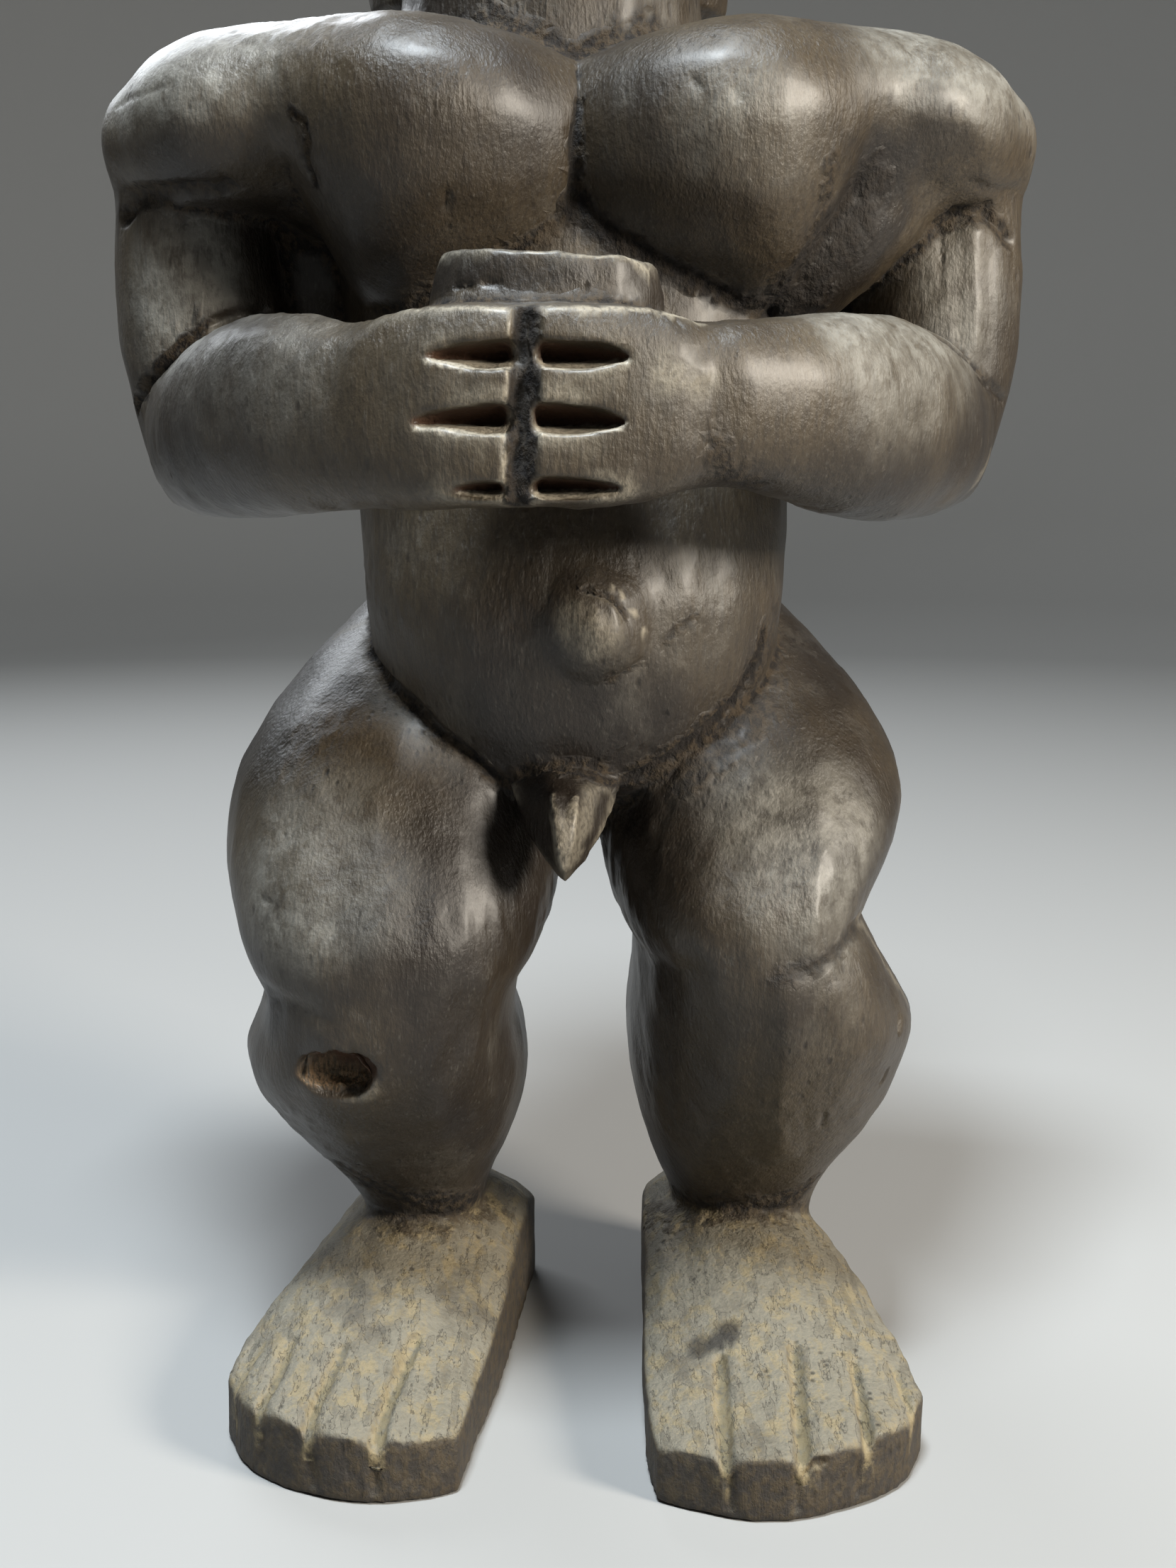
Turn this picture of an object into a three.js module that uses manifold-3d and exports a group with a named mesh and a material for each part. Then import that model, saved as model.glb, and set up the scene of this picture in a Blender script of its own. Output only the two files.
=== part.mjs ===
import * as THREE from 'three';
import { LoftGeometry } from 'three/addons/geometries/LoftGeometry.js';
import { mergeVertices } from 'three/addons/utils/BufferGeometryUtils.js';
import Module from 'manifold-3d';

// A standing male figure carved from one block of dark hardwood, in millimetres.
// It faces -Y, +X is on the viewer's right, and its soles stand on Z = 0.
// The carver worked in full rounded masses that meet in sharp creases: a trunk like a post,
// two chest pads, ball shoulders, egg-shaped thighs and calves, and slab feet.
// Left and right are the viewer's, and the two sides differ a little, as they were carved by eye.

// Driving dimensions
const shoulderHeight = 321;
const shoulderReach = 112;
const trunkReach = 52;
const navelHeight = 184;
const hipHeight = 187;
const ankleHeight = 36;
const gripHeight = 231;
const gripFront = -100;
const cupRim = 261;
const cupWall = 4.5;
const cupTilt = 0.06;
const chinHeight = 372;
const headHeight = 118;
const headReach = 43;
const hairReach = 48.5;
const headCentre = -5;

const left = -1;
const right = 1;
const bothSides = [left, right];
const xAxis = new THREE.Vector3(1, 0, 0);
const yAxis = new THREE.Vector3(0, 1, 0);
const zAxis = new THREE.Vector3(0, 0, 1);

const wasm = await Module();
wasm.setup();

// Solids

function signedVolume(position, index) {
  const a = new THREE.Vector3();
  const b = new THREE.Vector3();
  const c = new THREE.Vector3();
  let volume = 0;
  for (let i = 0; i < index.count; i += 3) {
    a.fromBufferAttribute(position, index.getX(i));
    b.fromBufferAttribute(position, index.getX(i + 1));
    c.fromBufferAttribute(position, index.getX(i + 2));
    volume += a.dot(b.cross(c));
  }
  return volume;
}

// A closed geometry as a solid that can be joined and cut, with its faces pointing out.
// Triangles that a section drawn together to one point has flattened are left out.
function solid(geometry) {
  const plain = new THREE.BufferGeometry();
  plain.setAttribute('position', geometry.attributes.position);
  plain.setIndex(geometry.index);
  const merged = mergeVertices(plain, 1e-4);
  const corners = Array.from(merged.index.array);
  const kept = [];
  for (let i = 0; i < corners.length; i += 3) {
    const [a, b, c] = corners.slice(i, i + 3);
    if (a !== b && b !== c && c !== a) {
      kept.push(a, b, c);
    }
  }
  merged.setIndex(kept);
  const triVerts = Uint32Array.from(kept);
  if (signedVolume(merged.attributes.position, merged.index) < 0) {
    triVerts.reverse();
  }
  const vertProperties = Float32Array.from(merged.attributes.position.array);
  return new wasm.Manifold(new wasm.Mesh({ numProp: 3, vertProperties, triVerts }));
}

function join(solids) {
  return solids.reduce((whole, part) => whole.add(part));
}

function cut(whole, cutters) {
  return cutters.reduce((rest, cutter) => rest.subtract(cutter), whole);
}

// Lofts

// The row at a place from 0 to 1 along the rows, on a smooth curve through every column of numbers.
function rowAt(rows, place) {
  const last = rows.length - 1;
  const start = Math.min(Math.floor(place * last), last - 1);
  const t = place * last - start;
  const next = rows[start + 1];
  return rows[start].map((value, column) => {
    const before = start > 0 ? rows[start - 1][column] : 2 * value - next[column];
    const after = start < last - 1 ? rows[start + 2][column] : 2 * next[column] - value;
    const slopeHere = (next[column] - before) / 2;
    const slopeNext = (after - value) / 2;
    const drop = value - next[column];
    const square = -3 * drop - 2 * slopeHere - slopeNext;
    const cube = 2 * drop + slopeHere + slopeNext;
    return value + t * (slopeHere + t * (square + t * cube));
  });
}

// Sections of equal point counts, skinned and drawn together to a point at each end.
function skin(sections) {
  const pointOf = (section) => {
    const middle = section.reduce((sum, point) => sum.add(point), new THREE.Vector3());
    middle.divideScalar(section.length);
    return section.map(() => middle);
  };
  const first = pointOf(sections[0]);
  const last = pointOf(sections[sections.length - 1]);
  return solid(new LoftGeometry([first, ...sections, last]));
}

function soften(value, square) {
  return Math.sign(value) * Math.abs(value) ** (2 / square);
}

// A closed body through rows of sections. place turns a row into the section's centre, its two axes,
// its two reaches and the direction of the loft, and may give the row a squareness of its own.
// square is 2 for an oval and more for a boxy outline, and domes are how far the rounded ends stand
// out past the first and the last row.
function loft(rows, place, { rings = 10, sides = 18, square = 2.2, domes = [6, 6] } = {}) {
  const domeRings = 2;
  const sections = [];
  const addSection = (row, shift, scale) => {
    const { centre, across, over, acrossReach, overReach, direction, boxiness = square } = place(row);
    const middle = centre.clone().addScaledVector(direction, shift);
    const points = [];
    for (let i = 0; i < sides; i++) {
      const angle = 2 * Math.PI * (i + 0.5) / sides;
      const alongAcross = scale * acrossReach * soften(Math.cos(angle), boxiness);
      const alongOver = scale * overReach * soften(Math.sin(angle), boxiness);
      points.push(middle.clone().addScaledVector(across, alongAcross).addScaledVector(over, alongOver));
    }
    sections.push(points);
  };
  const addDome = (place01, depth, order) => {
    for (const ring of order) {
      const angle = Math.PI / 2 * (ring - 0.2) / domeRings;
      addSection(rowAt(rows, place01), depth * Math.sin(angle), Math.cos(angle));
    }
  };
  addDome(0, -domes[0], domes[0] !== 0 ? [2, 1] : []);
  for (let ring = 0; ring <= rings; ring++) {
    addSection(rowAt(rows, ring / rings), 0, 1);
  }
  addDome(1, domes[1], domes[1] !== 0 ? [1, 2] : []);
  return skin(sections);
}

// Sections that lie flat, one above the other. Rows: height, low x, high x, front, back.
function column(rows, options) {
  return loft(rows, ([height, lowX, highX, front, back]) => ({
    centre: new THREE.Vector3((lowX + highX) / 2, (front + back) / 2, height),
    across: xAxis,
    over: yAxis,
    acrossReach: (highX - lowX) / 2,
    overReach: (back - front) / 2,
    direction: zAxis,
  }), options);
}

// Sections that stand upright, side by side along X. Rows: x, bottom, top, front, back, and how far
// the foot of the section swings to the front.
function beam(rows, options) {
  return loft(rows, ([x, bottom, top, front, back, swing = 0]) => ({
    centre: new THREE.Vector3(x, (front + back) / 2, (bottom + top) / 2),
    across: yAxis,
    over: new THREE.Vector3(0, 2 * swing / (top - bottom), 1),
    acrossReach: (back - front) / 2,
    overReach: (top - bottom) / 2,
    direction: xAxis,
  }), options);
}

// Upright sections square to a path. Rows: x, y, height, half thickness, half depth, squareness.
function limb(rows, options) {
  const path = new THREE.CatmullRomCurve3(rows.map(([x, y, height]) => new THREE.Vector3(x, y, height)));
  const placed = rows.map((row, index) => [...row, index / (rows.length - 1)]);
  return loft(placed, ([x, y, height, thickness, depth, boxiness, along]) => {
    const direction = path.getTangent(THREE.MathUtils.clamp(along, 0, 1)).setZ(0).normalize();
    return {
      centre: new THREE.Vector3(x, y, height),
      across: new THREE.Vector3().crossVectors(direction, zAxis).normalize(),
      over: zAxis,
      acrossReach: thickness,
      overReach: depth,
      direction,
      boxiness,
    };
  }, options);
}

// One side's rows, given as inner and outer distances from the middle plane, turned into columns.
function sided(side, rows) {
  return rows.map(([height, inner, outer, front, back]) => {
    const nearX = side * inner;
    const farX = side * outer;
    return [height, Math.min(nearX, farX), Math.max(nearX, farX), front, back];
  });
}

function egg(centre, reach, turn = 0, detail = [12, 7]) {
  const shape = new THREE.SphereGeometry(1, ...detail);
  shape.scale(...reach);
  shape.rotateZ(turn);
  shape.translate(...centre);
  return solid(shape);
}

// A spindle pointed at both ends, lying along X: one cut of a curved gouge, a lid or a lip.
function spindle(centre, reach, bow, sink) {
  const steps = 6;
  const sections = [];
  for (let i = 1; i < steps; i++) {
    const along = 2 * i / steps - 1;
    const girth = 1 - along * along;
    const points = [];
    for (let corner = 0; corner < 6; corner++) {
      const angle = corner * Math.PI / 3;
      const depth = sink * girth * Math.cos(angle);
      const rise = bow * girth * Math.sin(angle);
      points.push(new THREE.Vector3(along * reach, depth, rise).add(new THREE.Vector3(...centre)));
    }
    sections.push(points);
  }
  return skin(sections);
}

// A three-sided groove along the points of a surface, opening towards the direction out of each.
function groove(points, outs, width, depth) {
  const sections = points.map((point, index) => {
    const before = points[Math.max(index - 1, 0)];
    const after = points[Math.min(index + 1, points.length - 1)];
    const along = new THREE.Vector3().subVectors(after, before).normalize();
    const across = new THREE.Vector3().crossVectors(along, outs[index]).normalize();
    return [
      point.clone().addScaledVector(outs[index], -depth),
      point.clone().addScaledVector(outs[index], depth).addScaledVector(across, width),
      point.clone().addScaledVector(outs[index], depth).addScaledVector(across, -width),
    ];
  });
  return skin(sections);
}

// Trunk, chest and shoulders

function trunk() {
  return column([
    [146, -41, 41, -46, 40],
    [158, -45, 45, -53, 38],
    [172, -49, 49, -57, 35],
    [navelHeight + 4, -51, 51, -58, 33],
    [208, -trunkReach, trunkReach, -53, 33],
    [232, -53, 53, -47, 36],
    [258, -56, 56, -43, 39],
    [284, -58, 58, -38, 41],
    [304, -54, 54, -32, 40],
  ], { rings: 8, sides: 20, square: 2.15, domes: [9, 8] });
}

function navel() {
  return egg([3, -55, navelHeight], [13, 8.5, 13.5], 0, [10, 7]);
}

function yoke() {
  const half = [
    [0, 262, shoulderHeight - 3, -33, 41],
    [27, 262, shoulderHeight - 1, -34, 41],
    [54, 267, shoulderHeight, -31, 35],
    [80, 280, shoulderHeight - 3, -25, 25],
  ];
  const mirrored = half.slice(1).reverse().map(([x, ...rest]) => [-x, ...rest]);
  return beam([...mirrored, ...half], { rings: 6, sides: 16, square: 2.2, domes: [0, 0] });
}

function shoulder(side) {
  const tip = 7;
  return beam([
    [side * 50, 285, shoulderHeight - 1, -30, 22],
    [side * 62, 278, shoulderHeight, -42, 28],
    [side * 74, 275.5, shoulderHeight - 0.5, -42.5, 31],
    [side * 86, 275, shoulderHeight - 3, -39, 31],
    [side * 97, 277, shoulderHeight - 7, -32, 28],
    [side * (shoulderReach - tip), 281, shoulderHeight - 14, -21, 20],
  ], { rings: 6, sides: 16, square: 2.15, domes: [4, tip].map((depth) => side * depth) });
}

// The pads overlap in the middle, so that they meet in a crease.
function chestPad(side) {
  return beam([
    [side * -6, 270, shoulderHeight - 12, -38, 20, -3],
    [side * 6, 263, shoulderHeight - 9, -49, 20, -5],
    [side * 20, 255.5, shoulderHeight - 5, -56, 20, -8],
    [side * 34, 252, shoulderHeight - 3, -58.5, 20, -9],
    [side * 45, 250, shoulderHeight - 2, -56.5, 20, -8],
    [side * 54, 262, shoulderHeight - 2, -52, 20, -6],
    [side * 63, 279, shoulderHeight - 2.5, -47, 20, -3],
    [side * 73, 286, shoulderHeight - 4, -39, 20, -1],
  ], { rings: 8, sides: 16, square: 2.3, domes: [1.5, 3].map((depth) => side * depth) });
}

// The wood left standing in the armpit, between the upper arm and the trunk. On the right a fold of it
// comes forward, from the edge of the chest pad up to the shoulder.
function armpitWeb(side) {
  const web = beam([
    [side * 46, 242, 300, -8, 24],
    [side * 62, 246, 300, -6, 20],
    [side * 80, 250, 300, -6, 16],
  ], { rings: 2, sides: 8, square: 2.2, domes: [0, 0] });
  if (side === left) {
    return web;
  }
  return web.add(beam([
    [46, 247, 296, -36, 10],
    [57, 250, 298, -37, 10],
    [67, 258, 300, -36, 10],
    [77, 267, 300, -32, 10],
    [88, 273, 300, -24, 10],
  ], { rings: 4, sides: 12, square: 2.4, domes: [0, 2] }));
}

function upperArm(side) {
  return column(sided(side, [
    [216, 68, 101, -24, 14],
    [230, 67, 106, -23, 17],
    [246, 67, 109.5, -22, 20],
    [262, 68, 110.5, -21, 22],
    [290, 70, 109, -19, 21],
  ]), { rings: 4, sides: 16, square: 2.15, domes: [9, 0] });
}

// Forearms and hands: one limb from the elbow to the fingertips, which meet in front of the cup.
// Rows: x, y, height, half thickness, half depth, squareness, which grows towards the flat fingers.
const grips = {
  [left]: [
    [-88, 0, 223.5, 15, 16, 2.2],
    [-83, -20, 227, 18, 20, 2.2],
    [-72, -43, 229.5, 18, 22.5, 2.2],
    [-59, -61, 230.5, 16, 21.5, 2.3],
    [-46, -74, 229.5, 13, 19, 2.6],
    [-33, -84, 230.5, 10.5, 20.5, 3.2],
    [-21, -89.5, gripHeight, 9.5, 20, 4.6],
    [-11, -91, gripHeight, 9, 20, 5],
  ],
  [right]: [
    [88, 0, 224, 15, 15, 2.2],
    [82, -20, 227.5, 18, 20, 2.2],
    [70, -44, 229, 18, 23, 2.2],
    [54, -64, 230, 16.5, 22, 2.3],
    [38, -77, 231.5, 13.5, 18.5, 2.4],
    [23, -85.5, 232, 11, 16.5, 2.7],
    [8, -90, gripHeight, 9.5, 20, 4.2],
    [-13, -91, gripHeight, 9, 20, 5],
  ],
};

function forearmAndHand(side) {
  return limb(grips[side], { rings: 9, sides: 16, domes: [13, 1.5] });
}

// The slit where the fingertips of the two hands meet, and the slits between the fingers.
function handCuts() {
  const slitTop = new THREE.Vector3(-12.4, gripFront, 258);
  const slitFoot = new THREE.Vector3(-14.4, gripFront, 206);
  const outward = new THREE.Vector3(0, -1, 0);
  const meeting = groove([slitTop, slitFoot], [outward, outward], 6, 6);
  const fingerSlits = [
    [-20, 240.7, 13, 3],
    [-2.5, 240.7, 11.5, 3],
    [-21.5, 228.4, 13.5, 3.2],
    [-4, 228.4, 10.5, 3.2],
    [-23, 214.6, 10, 1.6],
    [-4.5, 214.9, 11.5, 1.8],
  ].map(([x, height, reach, bow]) => spindle([x, gripFront + 1, height], reach, bow, 6));
  return [meeting, ...fingerSlits];
}

// Cup, round-cornered, its rim a little lower on the right. Rows: height, half width, half depth.
function cupBody(rows, options) {
  const across = new THREE.Vector3(Math.cos(cupTilt), 0, -Math.sin(cupTilt));
  const direction = new THREE.Vector3().crossVectors(across, yAxis);
  const foot = new THREE.Vector3(-10, -74, cupRim - 45);
  return loft(rows, ([height, acrossReach, overReach]) => ({
    centre: foot.clone().addScaledVector(direction, height),
    across,
    over: yAxis,
    acrossReach,
    overReach,
    direction,
  }), { sides: 20, square: 2.4, ...options });
}

function cup() {
  return cupBody([
    [0, 17, 12],
    [15, 22, 16],
    [30, 24.5, 18],
    [38, 24.5, 18],
    [45, 22, 17],
  ], { rings: 4, domes: [3, 0] });
}

function cupHollow() {
  return cupBody([
    [24, 23 - cupWall, 17 - cupWall],
    [37, 24.5 - cupWall, 18 - cupWall],
    [50, 21.5 - cupWall, 16.5 - cupWall],
  ], { rings: 2, domes: [3, 0] });
}

// Legs. Rows: height, inner and outer distance from the middle plane, front, back.
const thighs = {
  [left]: [
    [hipHeight + 2, 7, 49, 0, 35],
    [179, 3.5, 59, -15, 44],
    [165, 2, 72.5, -35, 50],
    [148, 2.5, 83, -50, 52],
    [134, 3, 86, -59, 48],
    [120, 4, 85, -67, 37],
    [107, 9, 80.5, -70.5, 23],
    [98, 15, 75, -67, 10],
  ],
  [right]: [
    [hipHeight + 4, 7, 48, 0, 35],
    [181, 3.5, 58, -14, 44],
    [167, 2, 70.5, -34, 50],
    [151, 3.5, 80.5, -49, 52],
    [138, 5, 81.5, -58, 48],
    [126, 6, 75.4, -66, 38],
    [115, 9, 67.4, -70.5, 26],
    [107, 14, 62, -67, 16],
  ],
};

const calves = {
  [left]: [
    [22, 24, 54, -25, 12],
    [32, 23.5, 54, -26.5, 13],
    [41, 21.5, 58, -33, 18],
    [51, 17, 66, -42, 26],
    [61, 13.5, 74, -51, 32],
    [72, 11.5, 81, -60, 35],
    [81, 12, 82.5, -65, 34],
    [90, 15, 77.5, -68.5, 27],
    [100, 14, 75, -70, 18],
    [112, 12, 76, -68.5, 14],
  ],
  [right]: [
    [22, 26, 61, -25, 12],
    [33, 25, 62, -27, 14],
    [42, 21, 66, -33, 19],
    [53, 17, 73.5, -42, 27],
    [64, 14.5, 79.5, -51, 33],
    [76, 13, 83, -59, 37],
    [87, 13, 84.5, -65, 35],
    [98, 14, 77.5, -69, 27],
    [108, 14, 71.3, -70, 20],
    [119, 12, 65.5, -68.5, 16],
  ],
};

function thigh(side) {
  return column(sided(side, thighs[side]), { rings: 9, sides: 18, square: 2.5, domes: [6, 3] });
}

function calf(side) {
  return column(sided(side, calves[side]), { rings: 9, sides: 18, square: 2.4, domes: [0, 3] });
}

// The pubic swell between the thighs, and a faceted wedge with two ridges down its front.
// Rows of the wedge: height, x of its left side, its two ridges and its right side, then the depths
// of the sides, the ridges and the back.
function loins() {
  const wedge = [
    [128, -4.9, -4.4, -3.9, -3.3, -63, -64.5, -61.5],
    [132, -8.7, -4.9, -3.3, 1.3, -58.5, -67, -54],
    [137, -12.6, -5.6, -2.6, 5, -54, -67.5, -47],
    [142.5, -14.8, -6.3, -1.9, 7.9, -50, -66, -41],
    [147.5, -16.4, -6.8, -1.2, 10.2, -47, -62, -36],
    [151.5, -13, -7.2, -0.8, 6.5, -43, -54, -32],
  ].map(([height, lowX, ridgeX, nextX, highX, sideY, ridgeY, backY]) => [
    new THREE.Vector3(lowX, sideY, height),
    new THREE.Vector3(ridgeX, ridgeY, height),
    new THREE.Vector3(nextX, ridgeY + 0.6, height),
    new THREE.Vector3(highX, sideY, height),
    new THREE.Vector3(ridgeX, backY, height),
  ]);
  return [egg([0, -4, 148], [22, 38, 20], 0, [10, 7]), skin(wedge)];
}

// Feet: slabs with an upright edge all round and a crowned top, in distances from the middle plane.
const feet = {
  [left]: {
    heel: [[10, 16], [14, 24], [26, 27], [42, 25], [54, 12]],
    outer: [[63, -8], [71, -30], [79, -54], [82, -70]],
    toes: [[76, -83.5], [66, -92.5], [56, -98], [46, -100], [36, -98.5], [28.5, -95.5]],
    inner: [[25.5, -80], [20.5, -55], [16.5, -30], [13, -6]],
    crown: [
      [-106, 28, 78, 12.5, 14],
      [-75, 24, 82, 14.5, 21],
      [-50, 20, 78, 18, 28],
      [-25, 16, 68, 23, ankleHeight],
      [4, 13, 58, 27, ankleHeight + 1],
      [18, 11, 56, 22, ankleHeight - 4],
      [30, 10, 54, 12, 22],
    ],
    grooves: [
      [[76.4, -58.9], [80, -76]],
      [[68.2, -60.6], [72.4, -92]],
      [[56.4, -61.2], [61.2, -101]],
      [[39.5, -55.5], [45.6, -103]],
    ],
  },
  [right]: {
    heel: [[19, 15], [24, 24], [34, 27], [46, 24], [55, 12]],
    outer: [[62, -10], [68, -28], [73, -56], [75.5, -84]],
    toes: [[69.5, -96], [62, -102.5], [54, -106.5], [45, -109.5], [36, -110], [28, -108.5], [14, -101.5]],
    inner: [[13, -86], [14.2, -62], [16, -38], [17.5, -12]],
    crown: [
      [-116, 14, 74, 12, 13.5],
      [-80, 13, 75, 15, 20],
      [-52, 14, 72, 18, 28],
      [-25, 17, 67, 23, ankleHeight],
      [4, 18, 59, 27, ankleHeight + 1],
      [18, 19, 56, 22, ankleHeight - 4],
      [30, 20, 54, 12, 22],
    ],
    grooves: [
      [[31.8, -69.2], [27.8, -113]],
      [[48, -69.9], [43.2, -114]],
      [[61.4, -75.2], [57.6, -112]],
      [[70.1, -76.6], [69.4, -102]],
    ],
  },
};

function footPlan({ heel, outer, toes, inner }, side) {
  const plan = new THREE.Shape();
  plan.moveTo(side * heel[0][0], heel[0][1]);
  for (const stretch of [heel.slice(1), outer, toes, inner]) {
    plan.splineThru(stretch.map(([x, y]) => new THREE.Vector2(side * x, y)));
  }
  return plan;
}

function footRise([, inner, outer, edge, top], x) {
  const along = (2 * x - inner - outer) / (outer - inner);
  return top - (top - edge) * along * along;
}

function footTop({ crown }, side) {
  const overhang = 6;
  const steps = 6;
  const sections = crown.map((row) => {
    const [y, inner, outer] = row;
    const points = [];
    for (let i = 0; i <= steps; i++) {
      const x = THREE.MathUtils.lerp(inner - overhang, outer + overhang, i / steps);
      points.push(new THREE.Vector3(side * x, y, footRise(row, x)));
    }
    points.push(new THREE.Vector3(side * (outer + overhang), y, -2));
    points.push(new THREE.Vector3(side * (inner - overhang), y, -2));
    return points;
  });
  return skin(sections);
}

function onFoot({ crown }, side, x, y) {
  const next = crown.findIndex((row) => row[0] > y);
  const span = (y - crown[next - 1][0]) / (crown[next][0] - crown[next - 1][0]);
  const rise = THREE.MathUtils.lerp(footRise(crown[next - 1], x), footRise(crown[next], x), span);
  return new THREE.Vector3(side * x, y, rise);
}

function foot(side) {
  const plan = new THREE.ExtrudeGeometry(footPlan(feet[side], side), {
    depth: 60,
    bevelEnabled: false,
    curveSegments: 2,
  });
  return solid(plan).intersect(footTop(feet[side], side));
}

function toeGrooves(side) {
  const toolWidth = 1.9;
  const toolDepth = 2.4;
  return feet[side].grooves.map((ends) => (
    groove(ends.map((end) => onFoot(feet[side], side, ...end)), [zAxis, zAxis], toolWidth, toolDepth)
  ));
}

// Neck, head and hair. The face is a plain calm one on even proportions.

function aroundHead(rows) {
  return rows.map(([height, reach, front, back]) => (
    [height, headCentre - reach, headCentre + reach, front, back]
  ));
}

function neck() {
  return column(aroundHead([
    [300, 39, -31, 40],
    [324, 38, -30, 38],
    [348, 34.5, -29, 36],
    [372, 30, -24, 34],
    [388, 26, -20, 32],
  ]), { rings: 2, sides: 14, square: 2.1, domes: [0, 3] });
}

function head() {
  return column(aroundHead([
    [chinHeight + 6, 20, -47, 6],
    [chinHeight + 16, 29, -49, 26],
    [chinHeight + 30, 36, -47, 38],
    [chinHeight + 46, 41, -44, 45],
    [chinHeight + 62, headReach, -44, 50],
    [chinHeight + 80, headReach, -50, 52],
    [chinHeight + 97, headReach - 5, -46, 47],
    [chinHeight + headHeight - 6, headReach - 17, -30, 34],
  ]), { rings: 7, sides: 18, square: 2.2, domes: [6, 6] });
}

// Hair: a close cap that falls behind the ears to the shoulders.
const hairSquare = 2.3;
const hairRows = [
  [329, hairReach - 4, -2, 50],
  [345, hairReach - 1, -4, 55],
  [372, hairReach, -6, 57],
  [400, hairReach, -20, 59],
  [430, hairReach, -44, 61],
  [455, hairReach - 1, -53, 60],
  [476, hairReach - 9, -48, 52],
  [489, hairReach - 22, -32, 37],
];

function hair() {
  const whole = column(aroundHead(hairRows), { rings: 7, sides: 18, square: hairSquare, domes: [6, 7] });
  const opening = new THREE.Shape();
  opening.moveTo(-80, 300);
  opening.lineTo(6, 300);
  opening.lineTo(10, 422);
  opening.quadraticCurveTo(10, 441, -4, 443);
  opening.quadraticCurveTo(-18, 446, -21, 457);
  opening.quadraticCurveTo(-26, 468, -44, 471);
  opening.lineTo(-80, 473);
  const faceSide = new THREE.ExtrudeGeometry(opening, { depth: 160, bevelEnabled: false, curveSegments: 3 });
  faceSide.rotateX(Math.PI / 2);
  faceSide.rotateZ(Math.PI / 2);
  faceSide.translate(-80, 0, 0);
  return whole.subtract(solid(faceSide));
}

// A low ridge of hair from the forehead over the crown to the nape.
function crest() {
  const halfWidth = 12;
  const rise = 4;
  const top = [4, 497];
  const brow = hairRows.slice(6).map(([height, , front]) => [front, height]);
  const nape = hairRows.slice(1).reverse().map(([height, , , back]) => [back, height]);
  const path = new THREE.SplineCurve([...brow, top, ...nape].map(([y, z]) => new THREE.Vector2(y, z)));
  const core = new THREE.Vector2(6, 425);
  const sections = path.getPoints(12).map((place) => {
    const out = place.clone().sub(core).normalize();
    const at = (x, distance) => {
      const point = place.clone().addScaledVector(out, distance);
      return new THREE.Vector3(headCentre + x, point.x, point.y);
    };
    return [at(-halfWidth, -7), at(0, rise), at(halfWidth, -7)];
  });
  return skin(sections);
}

// Upright grooves that part the hair of the nape into locks.
function hairGrooves() {
  const locks = 6;
  const heights = [0, 0.15, 0.35, 0.55];
  const grooves = [];
  for (let i = 0; i < locks; i++) {
    const angle = Math.PI * (0.14 + 0.72 * i / (locks - 1));
    const out = new THREE.Vector3(Math.cos(angle), Math.sin(angle), 0);
    const points = heights.map((place) => {
      const [height, reach, front, back] = rowAt(hairRows, place);
      const x = headCentre + reach * soften(Math.cos(angle), hairSquare);
      const y = (front + back) / 2 + (back - front) / 2 * soften(Math.sin(angle), hairSquare);
      return new THREE.Vector3(x, y, height);
    });
    points[0].z -= 10;
    grooves.push(groove(points, points.map(() => out), 2.2, 2));
  }
  return grooves;
}

function headAndFace() {
  const eyeHeight = chinHeight + 0.5 * headHeight;
  const noseFoot = chinHeight + 0.28 * headHeight;
  const mouthHeight = chinHeight + 0.165 * headHeight;
  const earHeight = chinHeight + 0.42 * headHeight;
  const eyeSpread = 0.4 * headReach;
  const sockets = bothSides.map((side) => (
    egg([headCentre + side * (eyeSpread + 2), -54, eyeHeight - 1], [16, 15, 11.5], 0, [10, 7])
  ));
  const eyes = bothSides.map((side) => (
    spindle([headCentre + side * eyeSpread, -38, eyeHeight - 2], 11, 5.5, 6.5)
  ));
  const ears = bothSides.map((side) => (
    egg([headCentre + side * (headReach - 0.5), -1, earHeight], [5.5, 9, 15.5], side * 0.35, [8, 7])
  ));
  const earHollows = bothSides.map((side) => (
    egg([headCentre + side * (headReach + 6.5), -5, earHeight + 1.5], [4, 5.5, 9], side * 0.35, [6, 4])
  ));
  const nose = column([
    [noseFoot, headCentre - 10.5, headCentre + 10.5, -57, -34],
    [noseFoot + 6, headCentre - 9.5, headCentre + 9.5, -59.5, -34],
    [noseFoot + 17, headCentre - 6, headCentre + 6, -55, -34],
    [eyeHeight + 7, headCentre - 5, headCentre + 5, -50, -34],
  ], { rings: 4, sides: 10, square: 2, domes: [2.5, 3] });
  const muzzle = egg([headCentre, -33, mouthHeight], [21, 19.5, 15]);
  const lips = [
    spindle([headCentre, -48, mouthHeight + 2.8], 15, 3.6, 6.5),
    spindle([headCentre, -47.5, mouthHeight - 2.8], 13.5, 3.8, 6.5),
  ];
  const slits = [
    spindle([headCentre, -54.5, mouthHeight], 12, 1, 2.5),
    ...bothSides.map((side) => (
      spindle([headCentre + side * eyeSpread, -43, eyeHeight - 2.5], 9, 1, 2.2)
    )),
  ];
  const masses = [muzzle, nose, ...lips, ...eyes, ...ears, hair(), crest()];
  return cut(join([cut(head(), sockets), ...masses]), [...slits, ...earHollows, ...hairGrooves()]);
}

// Back of the trunk: the channel of the spine.
function spine() {
  const points = [[40.5, 312], [41, 280], [38.5, 250], [34.5, 215], [34, 190]].map(([y, height]) => (
    new THREE.Vector3(0, y, height)
  ));
  return groove(points, points.map(() => yAxis), 16, 3);
}

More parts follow.
